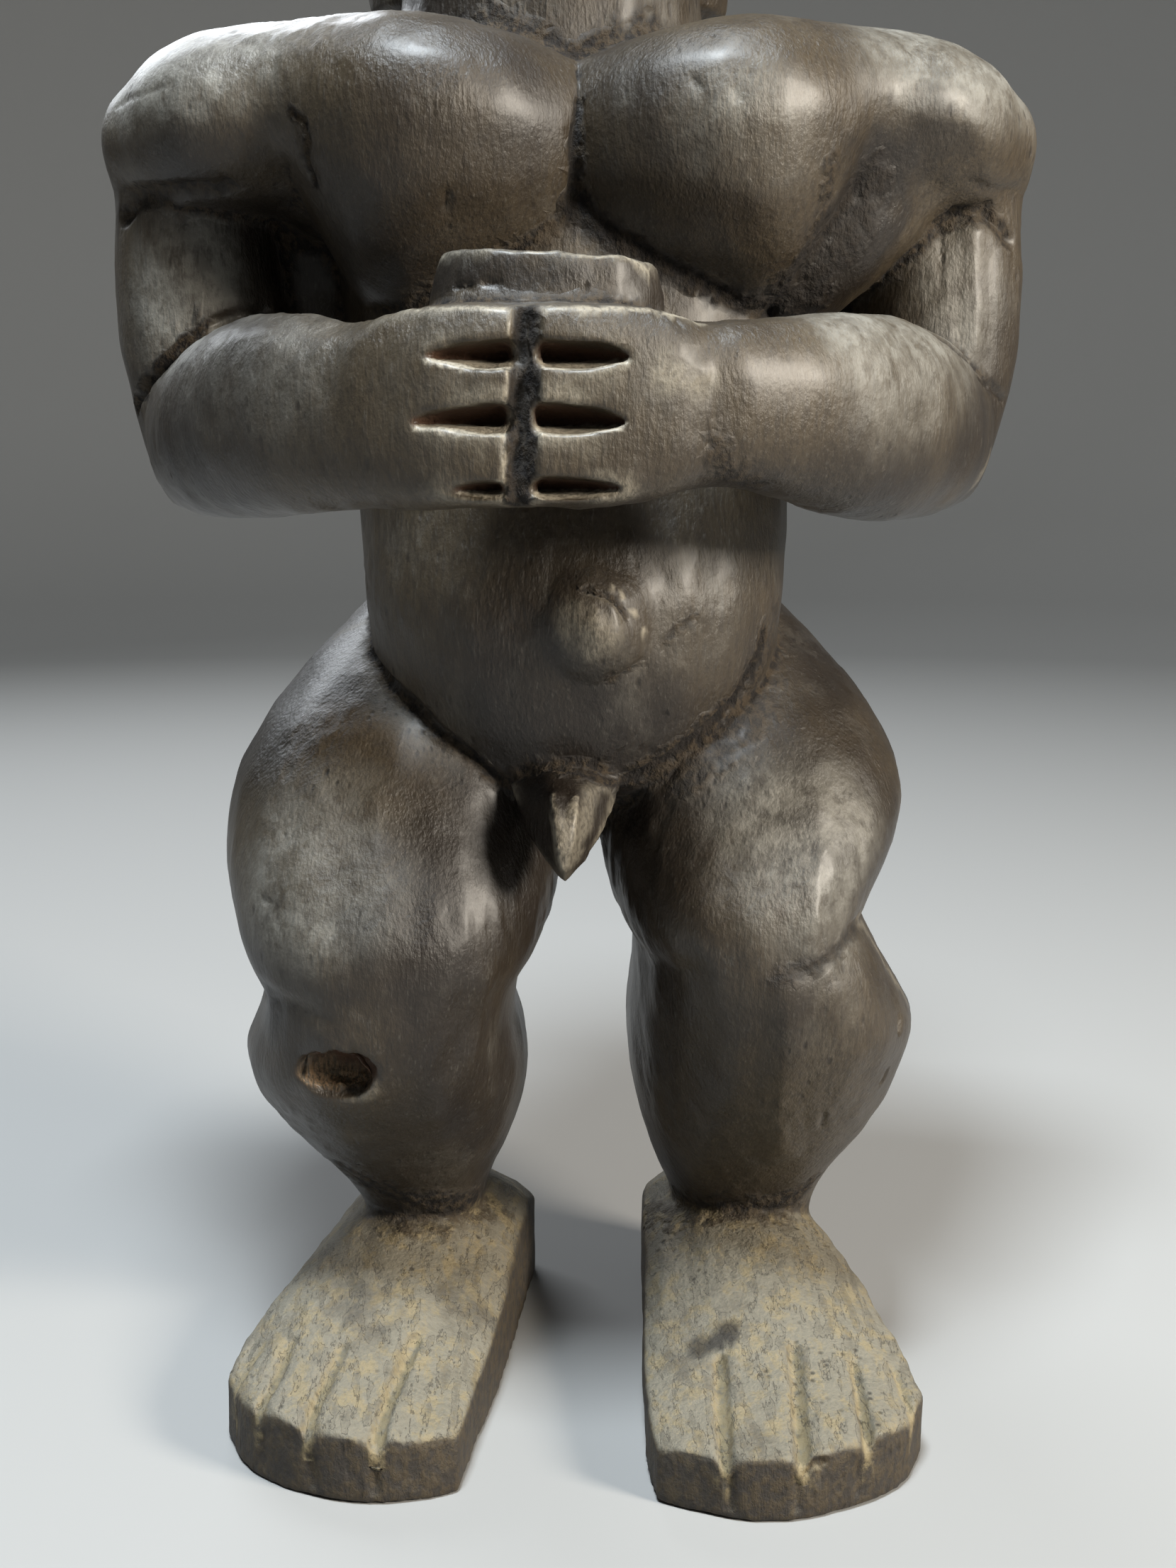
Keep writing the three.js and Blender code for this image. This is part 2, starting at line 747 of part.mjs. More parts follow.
// The chip broken out of the left shin, below the knee.
function shinChip() {
  return egg([-56.5, -63.5, 82.5], [9.5, 6, 5], 0.25, [9, 6]);
}

function carve() {
  const masses = [
    trunk(),
    navel(),
    yoke(),
    cup(),
    neck(),
    headAndFace(),
    ...loins(),
    ...[shoulder, chestPad, armpitWeb, upperArm, forearmAndHand].flatMap((form) => bothSides.map(form)),
    ...[thigh, calf, foot].flatMap((form) => bothSides.map(form)),
  ];
  const cuts = [
    cupHollow(),
    shinChip(),
    spine(),
    ...handCuts(),
    ...bothSides.flatMap(toeGrooves),
  ];
  return cut(join(masses), cuts);
}

function geometryOf(manifold) {
  const mesh = manifold.getMesh();
  const positions = new Float32Array(mesh.numVert * 3);
  for (let i = 0; i < mesh.numVert; i++) {
    for (let axis = 0; axis < 3; axis++) {
      positions[3 * i + axis] = mesh.vertProperties[mesh.numProp * i + axis];
    }
  }
  const geometry = new THREE.BufferGeometry();
  geometry.setAttribute('position', new THREE.BufferAttribute(positions, 3));
  geometry.setIndex(new THREE.BufferAttribute(Uint32Array.from(mesh.triVerts), 1));
  geometry.computeVertexNormals();
  return geometry;
}

const wood = new THREE.MeshStandardMaterial({ color: 0x3b2c22, roughness: 0.5, metalness: 0 });
const figure = new THREE.Mesh(geometryOf(carve()), wood);
figure.name = 'figure';

// The origin is on the ground, under the middle of the figure's bounding box.
figure.geometry.computeBoundingBox();
const box = figure.geometry.boundingBox;
const middle = box.getCenter(new THREE.Vector3());
figure.position.set(-middle.x, -middle.y, -box.min.z);

const group = new THREE.Group();
group.add(figure);

export default group;
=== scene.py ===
import bpy
import math
import numpy as np
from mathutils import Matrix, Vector
from mathutils.kdtree import KDTree


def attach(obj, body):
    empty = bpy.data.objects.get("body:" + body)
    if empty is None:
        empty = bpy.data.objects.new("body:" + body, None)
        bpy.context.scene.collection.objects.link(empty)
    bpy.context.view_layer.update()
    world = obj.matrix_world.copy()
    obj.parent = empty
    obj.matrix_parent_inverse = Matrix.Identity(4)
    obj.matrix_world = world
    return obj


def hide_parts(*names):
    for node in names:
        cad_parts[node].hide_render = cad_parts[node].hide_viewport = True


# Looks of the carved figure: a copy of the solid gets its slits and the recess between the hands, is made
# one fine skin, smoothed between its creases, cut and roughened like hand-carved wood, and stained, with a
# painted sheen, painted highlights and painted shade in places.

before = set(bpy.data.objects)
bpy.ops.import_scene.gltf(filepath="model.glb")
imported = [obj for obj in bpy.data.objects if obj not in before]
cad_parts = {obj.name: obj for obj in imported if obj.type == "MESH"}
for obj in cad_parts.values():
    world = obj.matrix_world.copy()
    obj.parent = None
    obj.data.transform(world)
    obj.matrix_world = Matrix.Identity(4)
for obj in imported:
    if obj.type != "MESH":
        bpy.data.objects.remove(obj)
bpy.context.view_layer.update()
mm = 0.001


# Selecting and finishing

def deselectAll():
    if bpy.context.object and bpy.context.object.mode != "OBJECT":
        bpy.ops.object.mode_set(mode="OBJECT")
    bpy.ops.object.select_all(action="DESELECT")


def makeActive(piece):
    deselectAll()
    piece.select_set(True)
    bpy.context.view_layer.objects.active = piece


def applyModifier(piece, kind, **settings):
    makeActive(piece)
    modifier = piece.modifiers.new(kind.lower(), kind)
    for name, value in settings.items():
        setattr(modifier, name, value)
    bpy.ops.object.modifier_apply(modifier=modifier.name)


def copyOfNode(nodeName, newName):
    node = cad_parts[nodeName]
    piece = node.copy()
    piece.data = node.data.copy()
    piece.name = newName
    for key in list(piece.keys()):
        del piece[key]
    bpy.context.scene.collection.objects.link(piece)
    piece.parent = None
    makeActive(piece)
    bpy.ops.object.mode_set(mode="EDIT")
    bpy.ops.mesh.select_all(action="SELECT")
    bpy.ops.mesh.remove_doubles(threshold=0.00001)
    bpy.ops.object.mode_set(mode="OBJECT")
    return piece


# Reading and writing a skin

def readPoints(mesh):
    flat = np.empty(len(mesh.vertices) * 3, np.float32)
    mesh.vertices.foreach_get("co", flat)
    return flat.reshape(-1, 3).astype(float)


def writePoints(mesh, points):
    mesh.vertices.foreach_set("co", points.astype(np.float32).ravel())
    mesh.update()


def readNormals(mesh):
    flat = np.empty(len(mesh.vertices) * 3, np.float32)
    mesh.vertex_normals.foreach_get("vector", flat)
    return flat.reshape(-1, 3).astype(float)


def readEdges(mesh):
    flat = np.empty(len(mesh.edges) * 2, np.int32)
    mesh.edges.foreach_get("vertices", flat)
    return flat.reshape(-1, 2)


def relaxed(points, edges, rounds, pull=0.9):  # pull is one number or one for each point
    count = np.maximum(np.bincount(edges.ravel(), minlength=len(points)), 1)
    moved = points.copy()
    for turn in range(rounds):
        for axis in range(3):
            column = moved[:, axis]
            total = np.bincount(edges[:, 0], weights=column[edges[:, 1]], minlength=len(points))
            total += np.bincount(edges[:, 1], weights=column[edges[:, 0]], minlength=len(points))
            moved[:, axis] = column + pull * (total / count - column)
    return moved


def creasePoints(piece, hollowAngle, ridgeAngle, spacing):  # points along the edges where two masses meet
    mesh = piece.data
    faces = {}
    for face in mesh.polygons:
        for key in face.edge_keys:
            faces.setdefault(key, []).append(face)
    points = []
    for (a, b), pair in faces.items():
        if len(pair) != 2:
            continue
        first, second = pair
        turn = first.normal.angle(second.normal, 0)
        isHollow = first.normal.dot(second.center - first.center) > 0
        if turn > math.radians(hollowAngle if isHollow else ridgeAngle):
            start, end = mesh.vertices[a].co, mesh.vertices[b].co
            steps = max(1, round((end - start).length / spacing))
            points.extend(start.lerp(end, i / steps) for i in range(steps + 1))
    return points


def pointTree(points):
    tree = KDTree(len(points))
    for index, point in enumerate(points):
        tree.insert(point, index)
    tree.balance()
    return tree


def nearLine(points, normals, line, reach):  # points within reach of a line, and their distance on the skin
    line = np.array(line, float)
    layer = reach + 3  # how far over or under the skin the line may run
    low, high = line.min(axis=0) - layer, line.max(axis=0) + layer
    near = np.flatnonzero(((points > low) & (points < high)).all(axis=1))
    away = np.full(len(near), np.inf)
    for start, end in zip(line[:-1], line[1:]):
        step = end - start
        share = np.clip((points[near] - start) @ step / (step @ step), 0, 1)
        gap = points[near] - start - share[:, None] * step
        lift = (gap * normals[near]).sum(axis=1)
        flat = np.linalg.norm(gap - lift[:, None] * normals[near], axis=1)
        away = np.where(np.abs(lift) < layer, np.minimum(away, flat), away)
    isNear = away < reach
    return near[isNear], away[isNear]


def ramp(values, low, high):
    t = np.clip((values - low) / (high - low), 0, 1)
    return t * t * (3 - 2 * t)


def hashed(cell, seed):  # a number from 0 to 1 that belongs to the cell
    mix = cell[:, 0] * 73856093 ^ cell[:, 1] * 19349663 ^ cell[:, 2] * 83492791 ^ seed * 668265263
    mix = (mix ^ (mix >> 13)) * 1274126177 & 0x7FFFFFFF
    return ((mix ^ (mix >> 15)) & 0xFFFF) / 65535


def inCells(points, size):  # places counted in cells, and the cell that holds each
    place = points / np.array(size) + 40.5
    return place, np.floor(place).astype(np.int64)


def cloud(points, size, seed):  # smooth noise from -1 to 1, size is one number or three
    place, cell = inCells(points, size)
    part = place - cell
    part = part * part * (3 - 2 * part)
    value = 0
    for corner in range(8):
        step = np.array([corner & 1, corner >> 1 & 1, corner >> 2 & 1])
        weight = np.prod(np.where(step, part, 1 - part), axis=1)
        value = value + weight * hashed(cell + step, seed)
    return 2 * value - 1


def scoops(points, size, seed):  # 0 in the middle of a gouge mark, 1 on the ridge between two
    place, cell = inCells(points, size)
    nearest = np.full(len(points), np.inf)
    for step in np.ndindex(3, 3, 3):
        other = cell + np.array(step) - 1
        spot = np.stack([hashed(other, seed + k) for k in range(3)], axis=1) + other
        nearest = np.minimum(nearest, ((place - spot) ** 2).sum(axis=1))
    return np.clip(nearest, 0, 1)


def brush(mask, points, normals, strokes, body, gaps, size, seed, fade):  # patchy strokes along lines
    for halfWidth, strength, line in strokes:
        near, away = nearLine(points, normals, line, halfWidth)
        patchy = body * (1 - away / halfWidth) + gaps * cloud(points[near], size, seed)
        mask[near] = np.maximum(mask[near], strength * ramp(patchy, *fade))


# The figure's skin, all sizes in millimetres

carving = {
    "skin": 0.8,  # between points of the fine skin
    "hollowAngle": 24,  # degrees past which a hollow or a ridge stays crisp
    "ridgeAngle": 46,
    "creaseStep": 1.2,  # between points along a crease
    "crispSteps": 12,  # parts that each straight piece of a crisp line is divided into
    "footTop": 36,
    "footFade": 4,
    "faces": 198000,  # triangles that the finished skin keeps
}

smoothing = {  # rounds, how strongly each pulls, and the distances from a crease over which they come in
    "first": 2,
    "ironing": 44,
    "ironingFrom": (0.8, 4.2),
    "pull": 0.9,
    "footSpared": 0.85,  # share of the ironing that is left out on the feet
    "last": 3,
    "lastFrom": (1.0, 3.0),
    "lastPull": (0.3, 0.5),  # everywhere, and what is added away from a crease
    "inFlow": 200,
    "flowFade": (0.65, 1.0),
    "creaseInFlow": 8,  # distance that is added where there should be no crease
    "broad": 42,  # rounds for the skin that hollows and edges are measured against
}

flowing = [  # middle and reach of the places where one mass flows into the next without a crease
    ((-60, 2, 312), (26, 42, 30)),
    ((60, 2, 312), (26, 42, 30)),
    ((52, -42, 110), (17, 12, 8)),
    ((3, -34, 184), (20, 15, 20)),
    ((78, -10, 285), (17, 15, 13)),
]

crisp = [  # edges that stay sharp though the solid turns little there
    [(-42, -63, 249), (-32, -69, 250), (-21, -73.5, 250), (-12, -75, 250)],
    [(-12, -75, 250), (0, -74.5, 250), (12, -71.5, 249.5), (22, -66.5, 248)],
    [(-78, -22, 103), (-81, -17, 93), (-82, -14, 84)],
    [(-6.8, -39.5, 147.5), (-6.3, -43.5, 142.5), (-5.6, -45, 137), (-4.9, -44.5, 132)],
    [(-1.2, -39, 147.5), (-1.9, -43, 142.5), (-2.6, -44.5, 137), (-4, -44.5, 132)],
]

slitShape = {
    "front": -75,
    "depth": 9.5,
    "bed": 0.5,  # height of the lower half
    "lipDepth": 2.4,
    "lipArch": 1.0,
    "stainReach": 12,  # how far behind the front the inside is dark
}

slits = [  # wide end at the meeting line, tip, height of the lower edge, height of the arch, lip below
    (-15.3, -34.0, 239.8, 3.6, 1.4),
    (-9.8, 8.4, 239.8, 3.6, 1.4),
    (-16.4, -37.0, 227.3, 4.2, 1.4),
    (-10.8, 7.4, 227.3, 4.2, 1.3),
    (-17.0, -30.0, 214.6, 1.8, 0.7),
    (-10.8, 7.0, 214.8, 2.4, 1.2),
]

channel = {  # the recess where the fingertips of the two hands meet
    "top": (-12.0, 250.5),
    "foot": (-14.2, 208.0),
    "width": 5.4,
    "floor": -74.6,
    "cutterDepth": 40,
}

toeGrooves = [  # half width, depth, and the line from the instep to the edge of the toes
    (0.6, 0.9, [(-74.5, -40.0, 19.0), (-78.0, -51.0, 16.0), (-80.5, -56.0, 12.0)]),
    (0.9, 1.3, [(-67.0, -43.0, 21.5), (-70.5, -60.0, 17.0), (-73.5, -68.0, 11.0)]),
    (1.2, 1.8, [(-55.5, -48.0, 22.0), (-59.5, -66.0, 16.0), (-61.5, -76.0, 11.0)]),
    (1.4, 2.0, [(-39.0, -43.5, 22.0), (-44.0, -65.0, 17.0), (-46.5, -81.0, 11.0)]),
    (1.4, 2.1, [(30.5, -53.5, 19.5), (29.0, -70.5, 16.5), (27.8, -90.0, 11.0)]),
    (1.5, 2.2, [(47.5, -52.0, 19.5), (46.0, -69.5, 16.0), (43.8, -91.0, 11.0)]),
    (1.1, 1.5, [(60.5, -55.5, 19.0), (60.0, -68.5, 15.5), (58.8, -86.0, 10.0)]),
    (0.6, 0.9, [(70.0, -54.0, 17.0), (70.7, -64.0, 14.0), (71.2, -74.0, 9.0)]),
]

toes = {  # how the edge of the toes falls into each groove
    "slope": 9,
    "slopeEnd": 1.2,
    "spread": 5,
    "fall": 2.2,
    "fallFrom": (6, 10),  # heights over which the fall comes in
    "edgeTop": 24,
    "notch": 2.6,  # half width of the notch in the front below a groove
    "notchLine": ((0, 11), (-0.5, 3)),  # its ends, along the foot from the groove's end and over the floor
    "grooveHeights": (8.5, 26),
    "grooveSides": 1.7,
}

lines = {  # where the masses meet, used by the cuts, the dirt and the stains below
    "leftElbow": [(-105, 11.5, 232.5), (-98, 3, 240), (-91.5, 1, 246), (-86.5, 1, 250.5),
                  (-79.5, 3, 253.5), (-72.5, 8.5, 255)],
    "rightElbow": [(102, 10, 235), (100.5, 2, 238), (93, -10, 241), (86, -18, 244.5), (79, -24, 248),
                   (72, -24, 252), (67, -12, 255)],
    "underLeftShoulder": [(-105, 9.5, 277), (-101.5, 6.5, 280.5), (-96, 1, 281), (-88, -4.5, 280.5),
                          (-79, -7.5, 281)],
    "underRightShoulder": [(103, 7.5, 272.5), (101, 5.5, 275), (96.5, 4, 277.5), (89.5, 3, 277),
                           (84, 3, 274)],
    "breastMiddle": [(0, -14, 304), (0, -21, 296), (-1, -22, 291.5), (-1.5, -21.5, 287), (-1, -20.5, 283),
                     (-2, -17.5, 278)],
    "leftBreastEdge": [(-62.5, -23.5, 294), (-59.5, -25, 292), (-59, -24.5, 288), (-59.5, -21.5, 285),
                       (-58, -19.5, 280)],
    "rightBreastEdge": [(-2, -17.5, 277.5), (2.5, -17, 273), (6, -18, 269.5), (13, -18, 266),
                        (19.5, -17, 262), (26, -16, 260), (33, -13.5, 257.5), (39.5, -13, 256),
                        (45, -8.5, 256.5)],
    "rightBreastSide": [(54.5, -26, 283.5), (54.5, -20.5, 274.5), (51, -18.5, 268), (47.5, -16, 261.5),
                        (44.5, -12, 257)],
    "rightArmpit": [(65.5, -13, 284.5), (64, -13, 276.5), (61.5, -13, 268.5), (56.5, -11.5, 262),
                    (53, -9.5, 257.5)],
    "leftBreastFoot": [(-1.5, -16.5, 276), (-5, -17, 273), (-10, -18, 269.5), (-20, -18, 262),
                       (-35, -13, 257), (-42, -7, 256)],
    "rightHip": [(43.5, -13, 180), (42, -14, 175), (35.5, -17.5, 165), (28, -21.5, 158.5), (16, -23, 150.5),
                 (10, -24, 147)],
    "leftHip": [(-48.5, 3.5, 174.5), (-42.5, -10.5, 168.5), (-35, -17.5, 162), (-27.5, -20, 156),
                (-19, -21.5, 148)],
    "rightKnee": [(63.5, -30, 114.5), (59.5, -38.5, 113), (54, -44.5, 109.5), (49.5, -46, 109),
                  (45.5, -47, 108), (41.5, -47, 106)],
    "leftKnee": [(-74, -28, 102.5), (-67.5, -37, 101), (-63, -40.5, 99), (-57, -44.5, 98)],
    "wedgeTop": [(-15, -24, 149), (-7, -29, 151), (-0.5, -31, 151), (3.5, -30, 150), (7.5, -28, 148),
                 (11, -23, 145.5)],
    "wedgeEdge": [(-6.8, -39.5, 147.5), (-6.3, -43.5, 142.5), (-5.6, -45, 137), (-4.9, -44.5, 132)],
    "wedgeRidge": [(-1.2, -39.5, 147.5), (-1.9, -43, 142.5), (-2.6, -44.5, 137)],
    "hands": [(-12.1, -75, 249.5), (-12.7, -76, 238), (-13.2, -76, 228), (-14, -75, 212)],
    "rightWrist": [(22, -66, 249), (23.5, -70.5, 244), (24.5, -72.5, 238), (24.5, -72, 227), (23, -68, 216)],
    "leftAnkle": [(-56, -12, 49), (-50, -12.5, 45), (-42.5, -11.5, 42), (-34.5, -9, 39), (-26.5, 0, 35),
                  (-21, 12, 30)],
    "rightAnkle": [(19, 14.5, 27), (26.5, 1, 31), (35, -4.5, 35), (43.5, -6, 35.5), (52, -6, 37),
                   (57, -5, 40)],
}

cuts = [  # half width, depth, and the line that the blade followed
    (2.2, 2.0, lines["leftElbow"]),
    (1.9, 1.7, lines["rightElbow"]),
    (3.6, 2.2, lines["underLeftShoulder"]),
    (3.2, 2.0, lines["underRightShoulder"]),
    (1.8, 1.2, lines["breastMiddle"]),
    (1.5, 0.8, lines["leftBreastEdge"]),
    (1.8, 1.8, lines["rightHip"]),
    (2.0, 1.3, lines["leftHip"]),
    (3.2, 0.6, lines["rightKnee"]),
    (3.0, 0.7, lines["leftKnee"]),
    (7.5, 1.2, lines["rightWrist"]),
    (5.0, 0.9, [(-51.5, -56, 250), (-48.5, -60, 245), (-51, -61.5, 240.5), (-52.5, -62, 235.5)]),
    (14, 1.2, [(76, -18, 290), (80, -9, 283), (84, -6, 279)]),
    (1.8, 0.6, [(90, -6, 283), (97, 0, 282.5), (104, 8, 283)]),
    (0.9, 1.0, [(-28.5, -31, 277), (-29, -29, 274.5)]),
    (1.0, 0.5, [(-30.5, -36.5, 294), (-32, -35.5, 291)]),
    (1.0, 0.5, [(23.5, -34, 300), (25, -35, 298)]),
    (0.9, 0.5, [(32, -33, 297), (33, -33, 295.5)]),
    (0.9, 0.5, [(18, -34, 293), (18.5, -35, 291.5)]),
    (0.9, 0.35, [(-105, 4, 300), (-96.5, -8.5, 300.5), (-88, -14, 302)]),
    (1.8, 0.9, [(6, -34, 173), (9, -34, 174.5), (12.5, -33, 176.5)]),
    (1.3, 0.6, [(18, -32, 180), (21.5, -31.5, 183.5), (26, -29.5, 186)]),
    (1.0, 0.7, [(0, -36, 192), (6, -37, 190), (9, -37, 186.5)]),
    (1.2, 0.5, [(86, 2.5, 273), (86, 2, 261.5), (84, -8, 250)]),
    (1.1, 0.6, [(-73, -33, 123), (-70.5, -35, 122.5)]),
    (1.4, 1.1, [(75.5, -27, 91.5), (75.5, -28, 88.5)]),
    (1.2, 1.0, [(73, -26.5, 78), (72, -26, 74.5)]),
    (1.1, 0.8, [(57.2, -30.5, 69), (57.4, -27, 64)]),
    (1.9, 1.1, [(45.5, -88, 13.5), (49, -87, 12.5)]),
    (1.1, 0.9, [(-26.5, -65, 254.5), (-23.5, -66.5, 254.5)]),
    (1.3, 1.0, [(-20.5, -67.5, 255), (-18, -68.5, 255)]),
]

ridges = [  # half width, height, and the line where two cut planes meet
    (7, 0.9, [(53, -33, 143), (53, -35, 136.5), (52, -44, 122), (53, -45.5, 112)]),
    (8, 0.7, [(-47, -30, 146), (-46.5, -34, 137.5), (-43.5, -41, 126.5), (-45.5, -44.5, 118.5),
              (-53, -46, 108)]),
    (6, 1.1, [(46, -47, 104), (45.5, -46.5, 98), (45.5, -42.5, 87.5), (46, -32.5, 70.5), (48.5, -21.5, 56)]),
    (6, 0.9, [(-22, -39.5, 104.5), (-23.5, -36, 94), (-25.5, -36, 86.5), (-30, -37, 80), (-33.5, -34.5, 71)]),
    (4, 0.9, [(93.5, 3, 274), (94, 2, 261.5), (94.5, 1.5, 247)]),
    (12, 3.2, [(2, -36, 186), (3.5, -37, 183)]),
    (3.0, 1.0, lines["wedgeEdge"]),
    (2.4, 0.6, lines["wedgeRidge"]),
]

dirt = [  # half width, strength, and the line along which it has caked
    (2.0, 1.0, lines["leftBreastEdge"]),
    (2.6, 0.7, lines["breastMiddle"]),
    (5.0, 0.9, [(-20, -4, 319), (-8, -7.5, 313.5), (-1.5, -7.5, 309.5), (5, -6.5, 312), (18, 0, 318.5)]),
    (3.4, 1.0, lines["leftElbow"][:4]),
    (1.8, 0.5, lines["rightElbow"][2:]),
    (4.0, 0.8, lines["underRightShoulder"]),
    (3.6, 0.7, lines["underLeftShoulder"]),
    (4.5, 1.0, lines["rightBreastEdge"]),
    (4.5, 0.8, lines["rightBreastSide"]),
    (7.0, 0.7, lines["rightArmpit"]),
    (4.0, 0.9, lines["leftBreastFoot"]),
    (5.5, 1.0, lines["rightHip"]),
    (8.0, 0.65, [(51, -8, 184), (48, -13, 175), (43, -17, 166), (34, -24, 158), (22, -26, 150)]),
    (3.4, 0.55, lines["leftHip"]),
    (2.8, 1.0, lines["wedgeTop"]),
    (1.3, 0.9, [(0, -36, 192), (6, -37, 190), (9, -37, 186.5)]),
    (2.0, 0.6, [(18, -32, 180), (21.5, -31.5, 183.5), (26, -29.5, 186)]),
    (1.3, 0.8, [(6, -34, 172.5), (12.5, -33, 176.5)]),
    (8.0, 1.0, lines["leftAnkle"]),
    (8.0, 1.0, lines["rightAnkle"]),
    (3.0, 0.6, lines["rightKnee"]),
    (2.9, 1.0, lines["hands"]),
    (5.0, 0.7, [(25, -70, 224), (29, -67, 218), (35, -63, 213)]),
]

rubbedAndHighlit = [  # half width, strength, and the line where the stain has worn thin; on the cup's rim, the tops of the hands and the right calf's edge the light band is also a painted highlight
    # cup rim and hand tops: wear and a painted highlight along the upper edges
    (1.5, 0.9, [(-30, -55, 260.5), (-26.5, -61, 262), (-20, -66.5, 262), (-10, -69, 262), (0, -68.5, 261)]),
    (1.3, 0.7, [(0, -68.5, 261), (8, -64.5, 259.5), (12, -61.5, 257.5)]),
    (1.1, 0.8, [(-38, -64, 249.4), (-30, -70, 249.6), (-21, -74, 249.8), (-15.5, -75.5, 249.8)]),
    (1.1, 0.8, [(-9, -76, 249.8), (2, -75, 249.6), (14, -71, 249.2), (22, -66, 248)]),
    (0.9, 0.8, [(-15.1, -77, 249), (-15.9, -77, 238), (-16.4, -77, 227), (-17.2, -76, 215)]),
    (4.5, 0.45, [(14.5, -75.5, 238), (22.5, -74, 235)]),
    (6.0, 0.4, [(-1, -38, 185), (3, -38, 183)]),
    (0.6, 1.0, [(5.5, -37, 194.5), (9, -37, 190.5), (11, -36, 187.5), (13, -35, 184)]),
    (2.2, 0.5, [(-78, -22, 104), (-81, -18, 97)]),
    (5.0, 0.45, [(4, -36, 147), (2, -39, 141), (-2, -43, 134)]),
    (0.8, 0.8, lines["wedgeRidge"]),
    (0.8, 0.6, lines["wedgeEdge"]),
    # painted highlight along the lit edge of the right calf below the knee
    (2.2, 0.4, [(63.5, -29.5, 116), (68, -20.5, 111), (72, -19, 104), (76.5, -16.5, 96), (80.5, -12, 90.5)]),
    (3.0, 0.35, [(99, 0, 222), (95, -4, 214)]),
    (3.0, 0.4, [(38, -62, 19.5), (40, -70, 18), (38, -78, 16)]),
    (2.2, 0.5, [(-60, 25, 177), (-54.5, 20, 180), (-51, 18.5, 181)]),
]

stainedAndShaded = [  # half width, strength, and the line of a dark mark, a real stain in some places and painted shade in others
    # painted shade: in the creases of the hips, between the breasts, under the right breast, at the right
    # elbow and between the hands, beside the top of the wedge, under the right knee's edge, in the right
    # armpit and in the hollows of the right shoulder
    (1.4, 0.9, lines["rightHip"]),
    (1.0, 0.4, lines["leftHip"]),
    (3.0, 0.9, [(-10.5, -31, 148), (-10.5, -33, 146)]),
    (1.0, 0.8, lines["breastMiddle"]),
    (2.2, 0.6, lines["rightKnee"]),
    (1.6, 0.7, lines["rightElbow"]),
    (17, 0.9, lines["rightArmpit"]),
    (15, 0.6, [(78, -16, 290), (72, -14, 282), (68, -12, 272)]),
    (5, 0.8, lines["rightBreastEdge"]),
    (2.7, 0.8, lines["hands"]),
    (3.0, 0.5, [(84, -14, 293), (86, -13, 290)]),
    # real stains: a band on the cup, patches on the left thigh and knee, and one on the right foot
    (6.0, 0.75, [(-28, -58, 256), (-18, -66.5, 256.5), (-11.5, -69, 256.5), (-4, -69, 257)]),
    (6.5, 0.4, [(-50, -43, 120), (-49, -45, 112), (-54, -45, 105)]),
    (9.0, 0.45, [(-72, -28, 98), (-66, -36, 93), (-62, -40, 88)]),
    (4.6, 0.9, [(25.5, -49, 20), (33, -45.5, 22)]),
]

patinaAndSheen = [  # middle, reach and strength of the places given a grey patina and a painted sheen where the light from above and in front falls
    ((-84, -4, 306), (36, 36, 26), 0.9),
    ((84, -6, 306), (34, 36, 22), 1.0),
    ((-88, -5, 258), (24, 27, 30), 1.0),
    ((90, -8, 258), (20, 25, 26), 0.9),
    ((36, -32, 284), (24, 26, 25), 1.0),
    ((-66, -42, 238), (42, 34, 26), 0.35),
    ((68, -42, 238), (42, 34, 26), 1.0),
    ((-12, -74, 236), (46, 16, 20), 0.25),
    ((30, -30, 184), (22, 20, 20), 0.3),
    ((-62, -34, 130), (32, 32, 36), 0.6),
    ((52, -36, 132), (30, 32, 36), 0.9),
]

soiling = {
    "dirtFrom": (0.2, 0.9),  # depth of a hollow over which dirt has caked in it
    "dirtPatches": 0.15,
    "footSpared": 0.8,
    "wearAndHighlight": 0.55,
    "wornFrom": (0.35, 1.0),  # height of an edge over which it is worn
    "wornPatches": (-0.4, 0.5),
    "lipHighlight": 0.95,
}

sheenAndDustSettings = {
    "fade": (0.45, 1.0),
    "patches": 0.12,
    "patchSize": 14,
    "side": (-0.05, -0.5, 0.86),  # the way toward the light from above and in front, which the painted sheen follows
    "onFoot": (0.05, 0.95),
}

brushes = {  # weight of a stroke, depth and size of the gaps in it, and where its edge fades
    "dirt": dict(body=1.0, gaps=0.5, size=1.7, seed=13, fade=(0.15, 0.75)),
    "rubbedAndHighlit": dict(body=1.0, gaps=0.4, size=(2, 2, 5), seed=15, fade=(0.1, 0.7)),
    "stainedAndShaded": dict(body=1.2, gaps=0.4, size=3.2, seed=16, fade=(0.1, 0.7)),
}

surface = {  # heights or shares, sizes along x, y and z, and seeds
    "gouges": (0.34, (10, 10, 17), 5),
    "waves": [(0.22, (4.5, 4.5, 9), 6), (0.34, (20, 20, 32), 7)],
    "chatter": (0.05, 0.2),  # everywhere, and more in patches
    "chatterMarks": ((1.8, 1.8, 3.4), 22),
    "chatterPatches": (26, 21),
    "crust": 0.4,
    "grit": [(0.7, 1.4, 1), (0.3, 2.8, 2)],
}

chip = {
    "middle": (-55.5, -41.0, 84.6),
    "reach": (10.2, 12, 5.9),
    "rim": (0.86, 1.0),  # part of the reach over which it falls away
    "ragged": 0.1,
    "raggedSize": 2.6,
    "depth": 4.0,
    "slope": (-1.0, 0.75),  # from the lower rim to the deepest part, in parts of the reach
    "spared": 0.7,
    "fibre": 0.55,
    "fibreSize": (1.1, 1.6, 7),
    "darkFrom": (-0.35, 0.35),
}


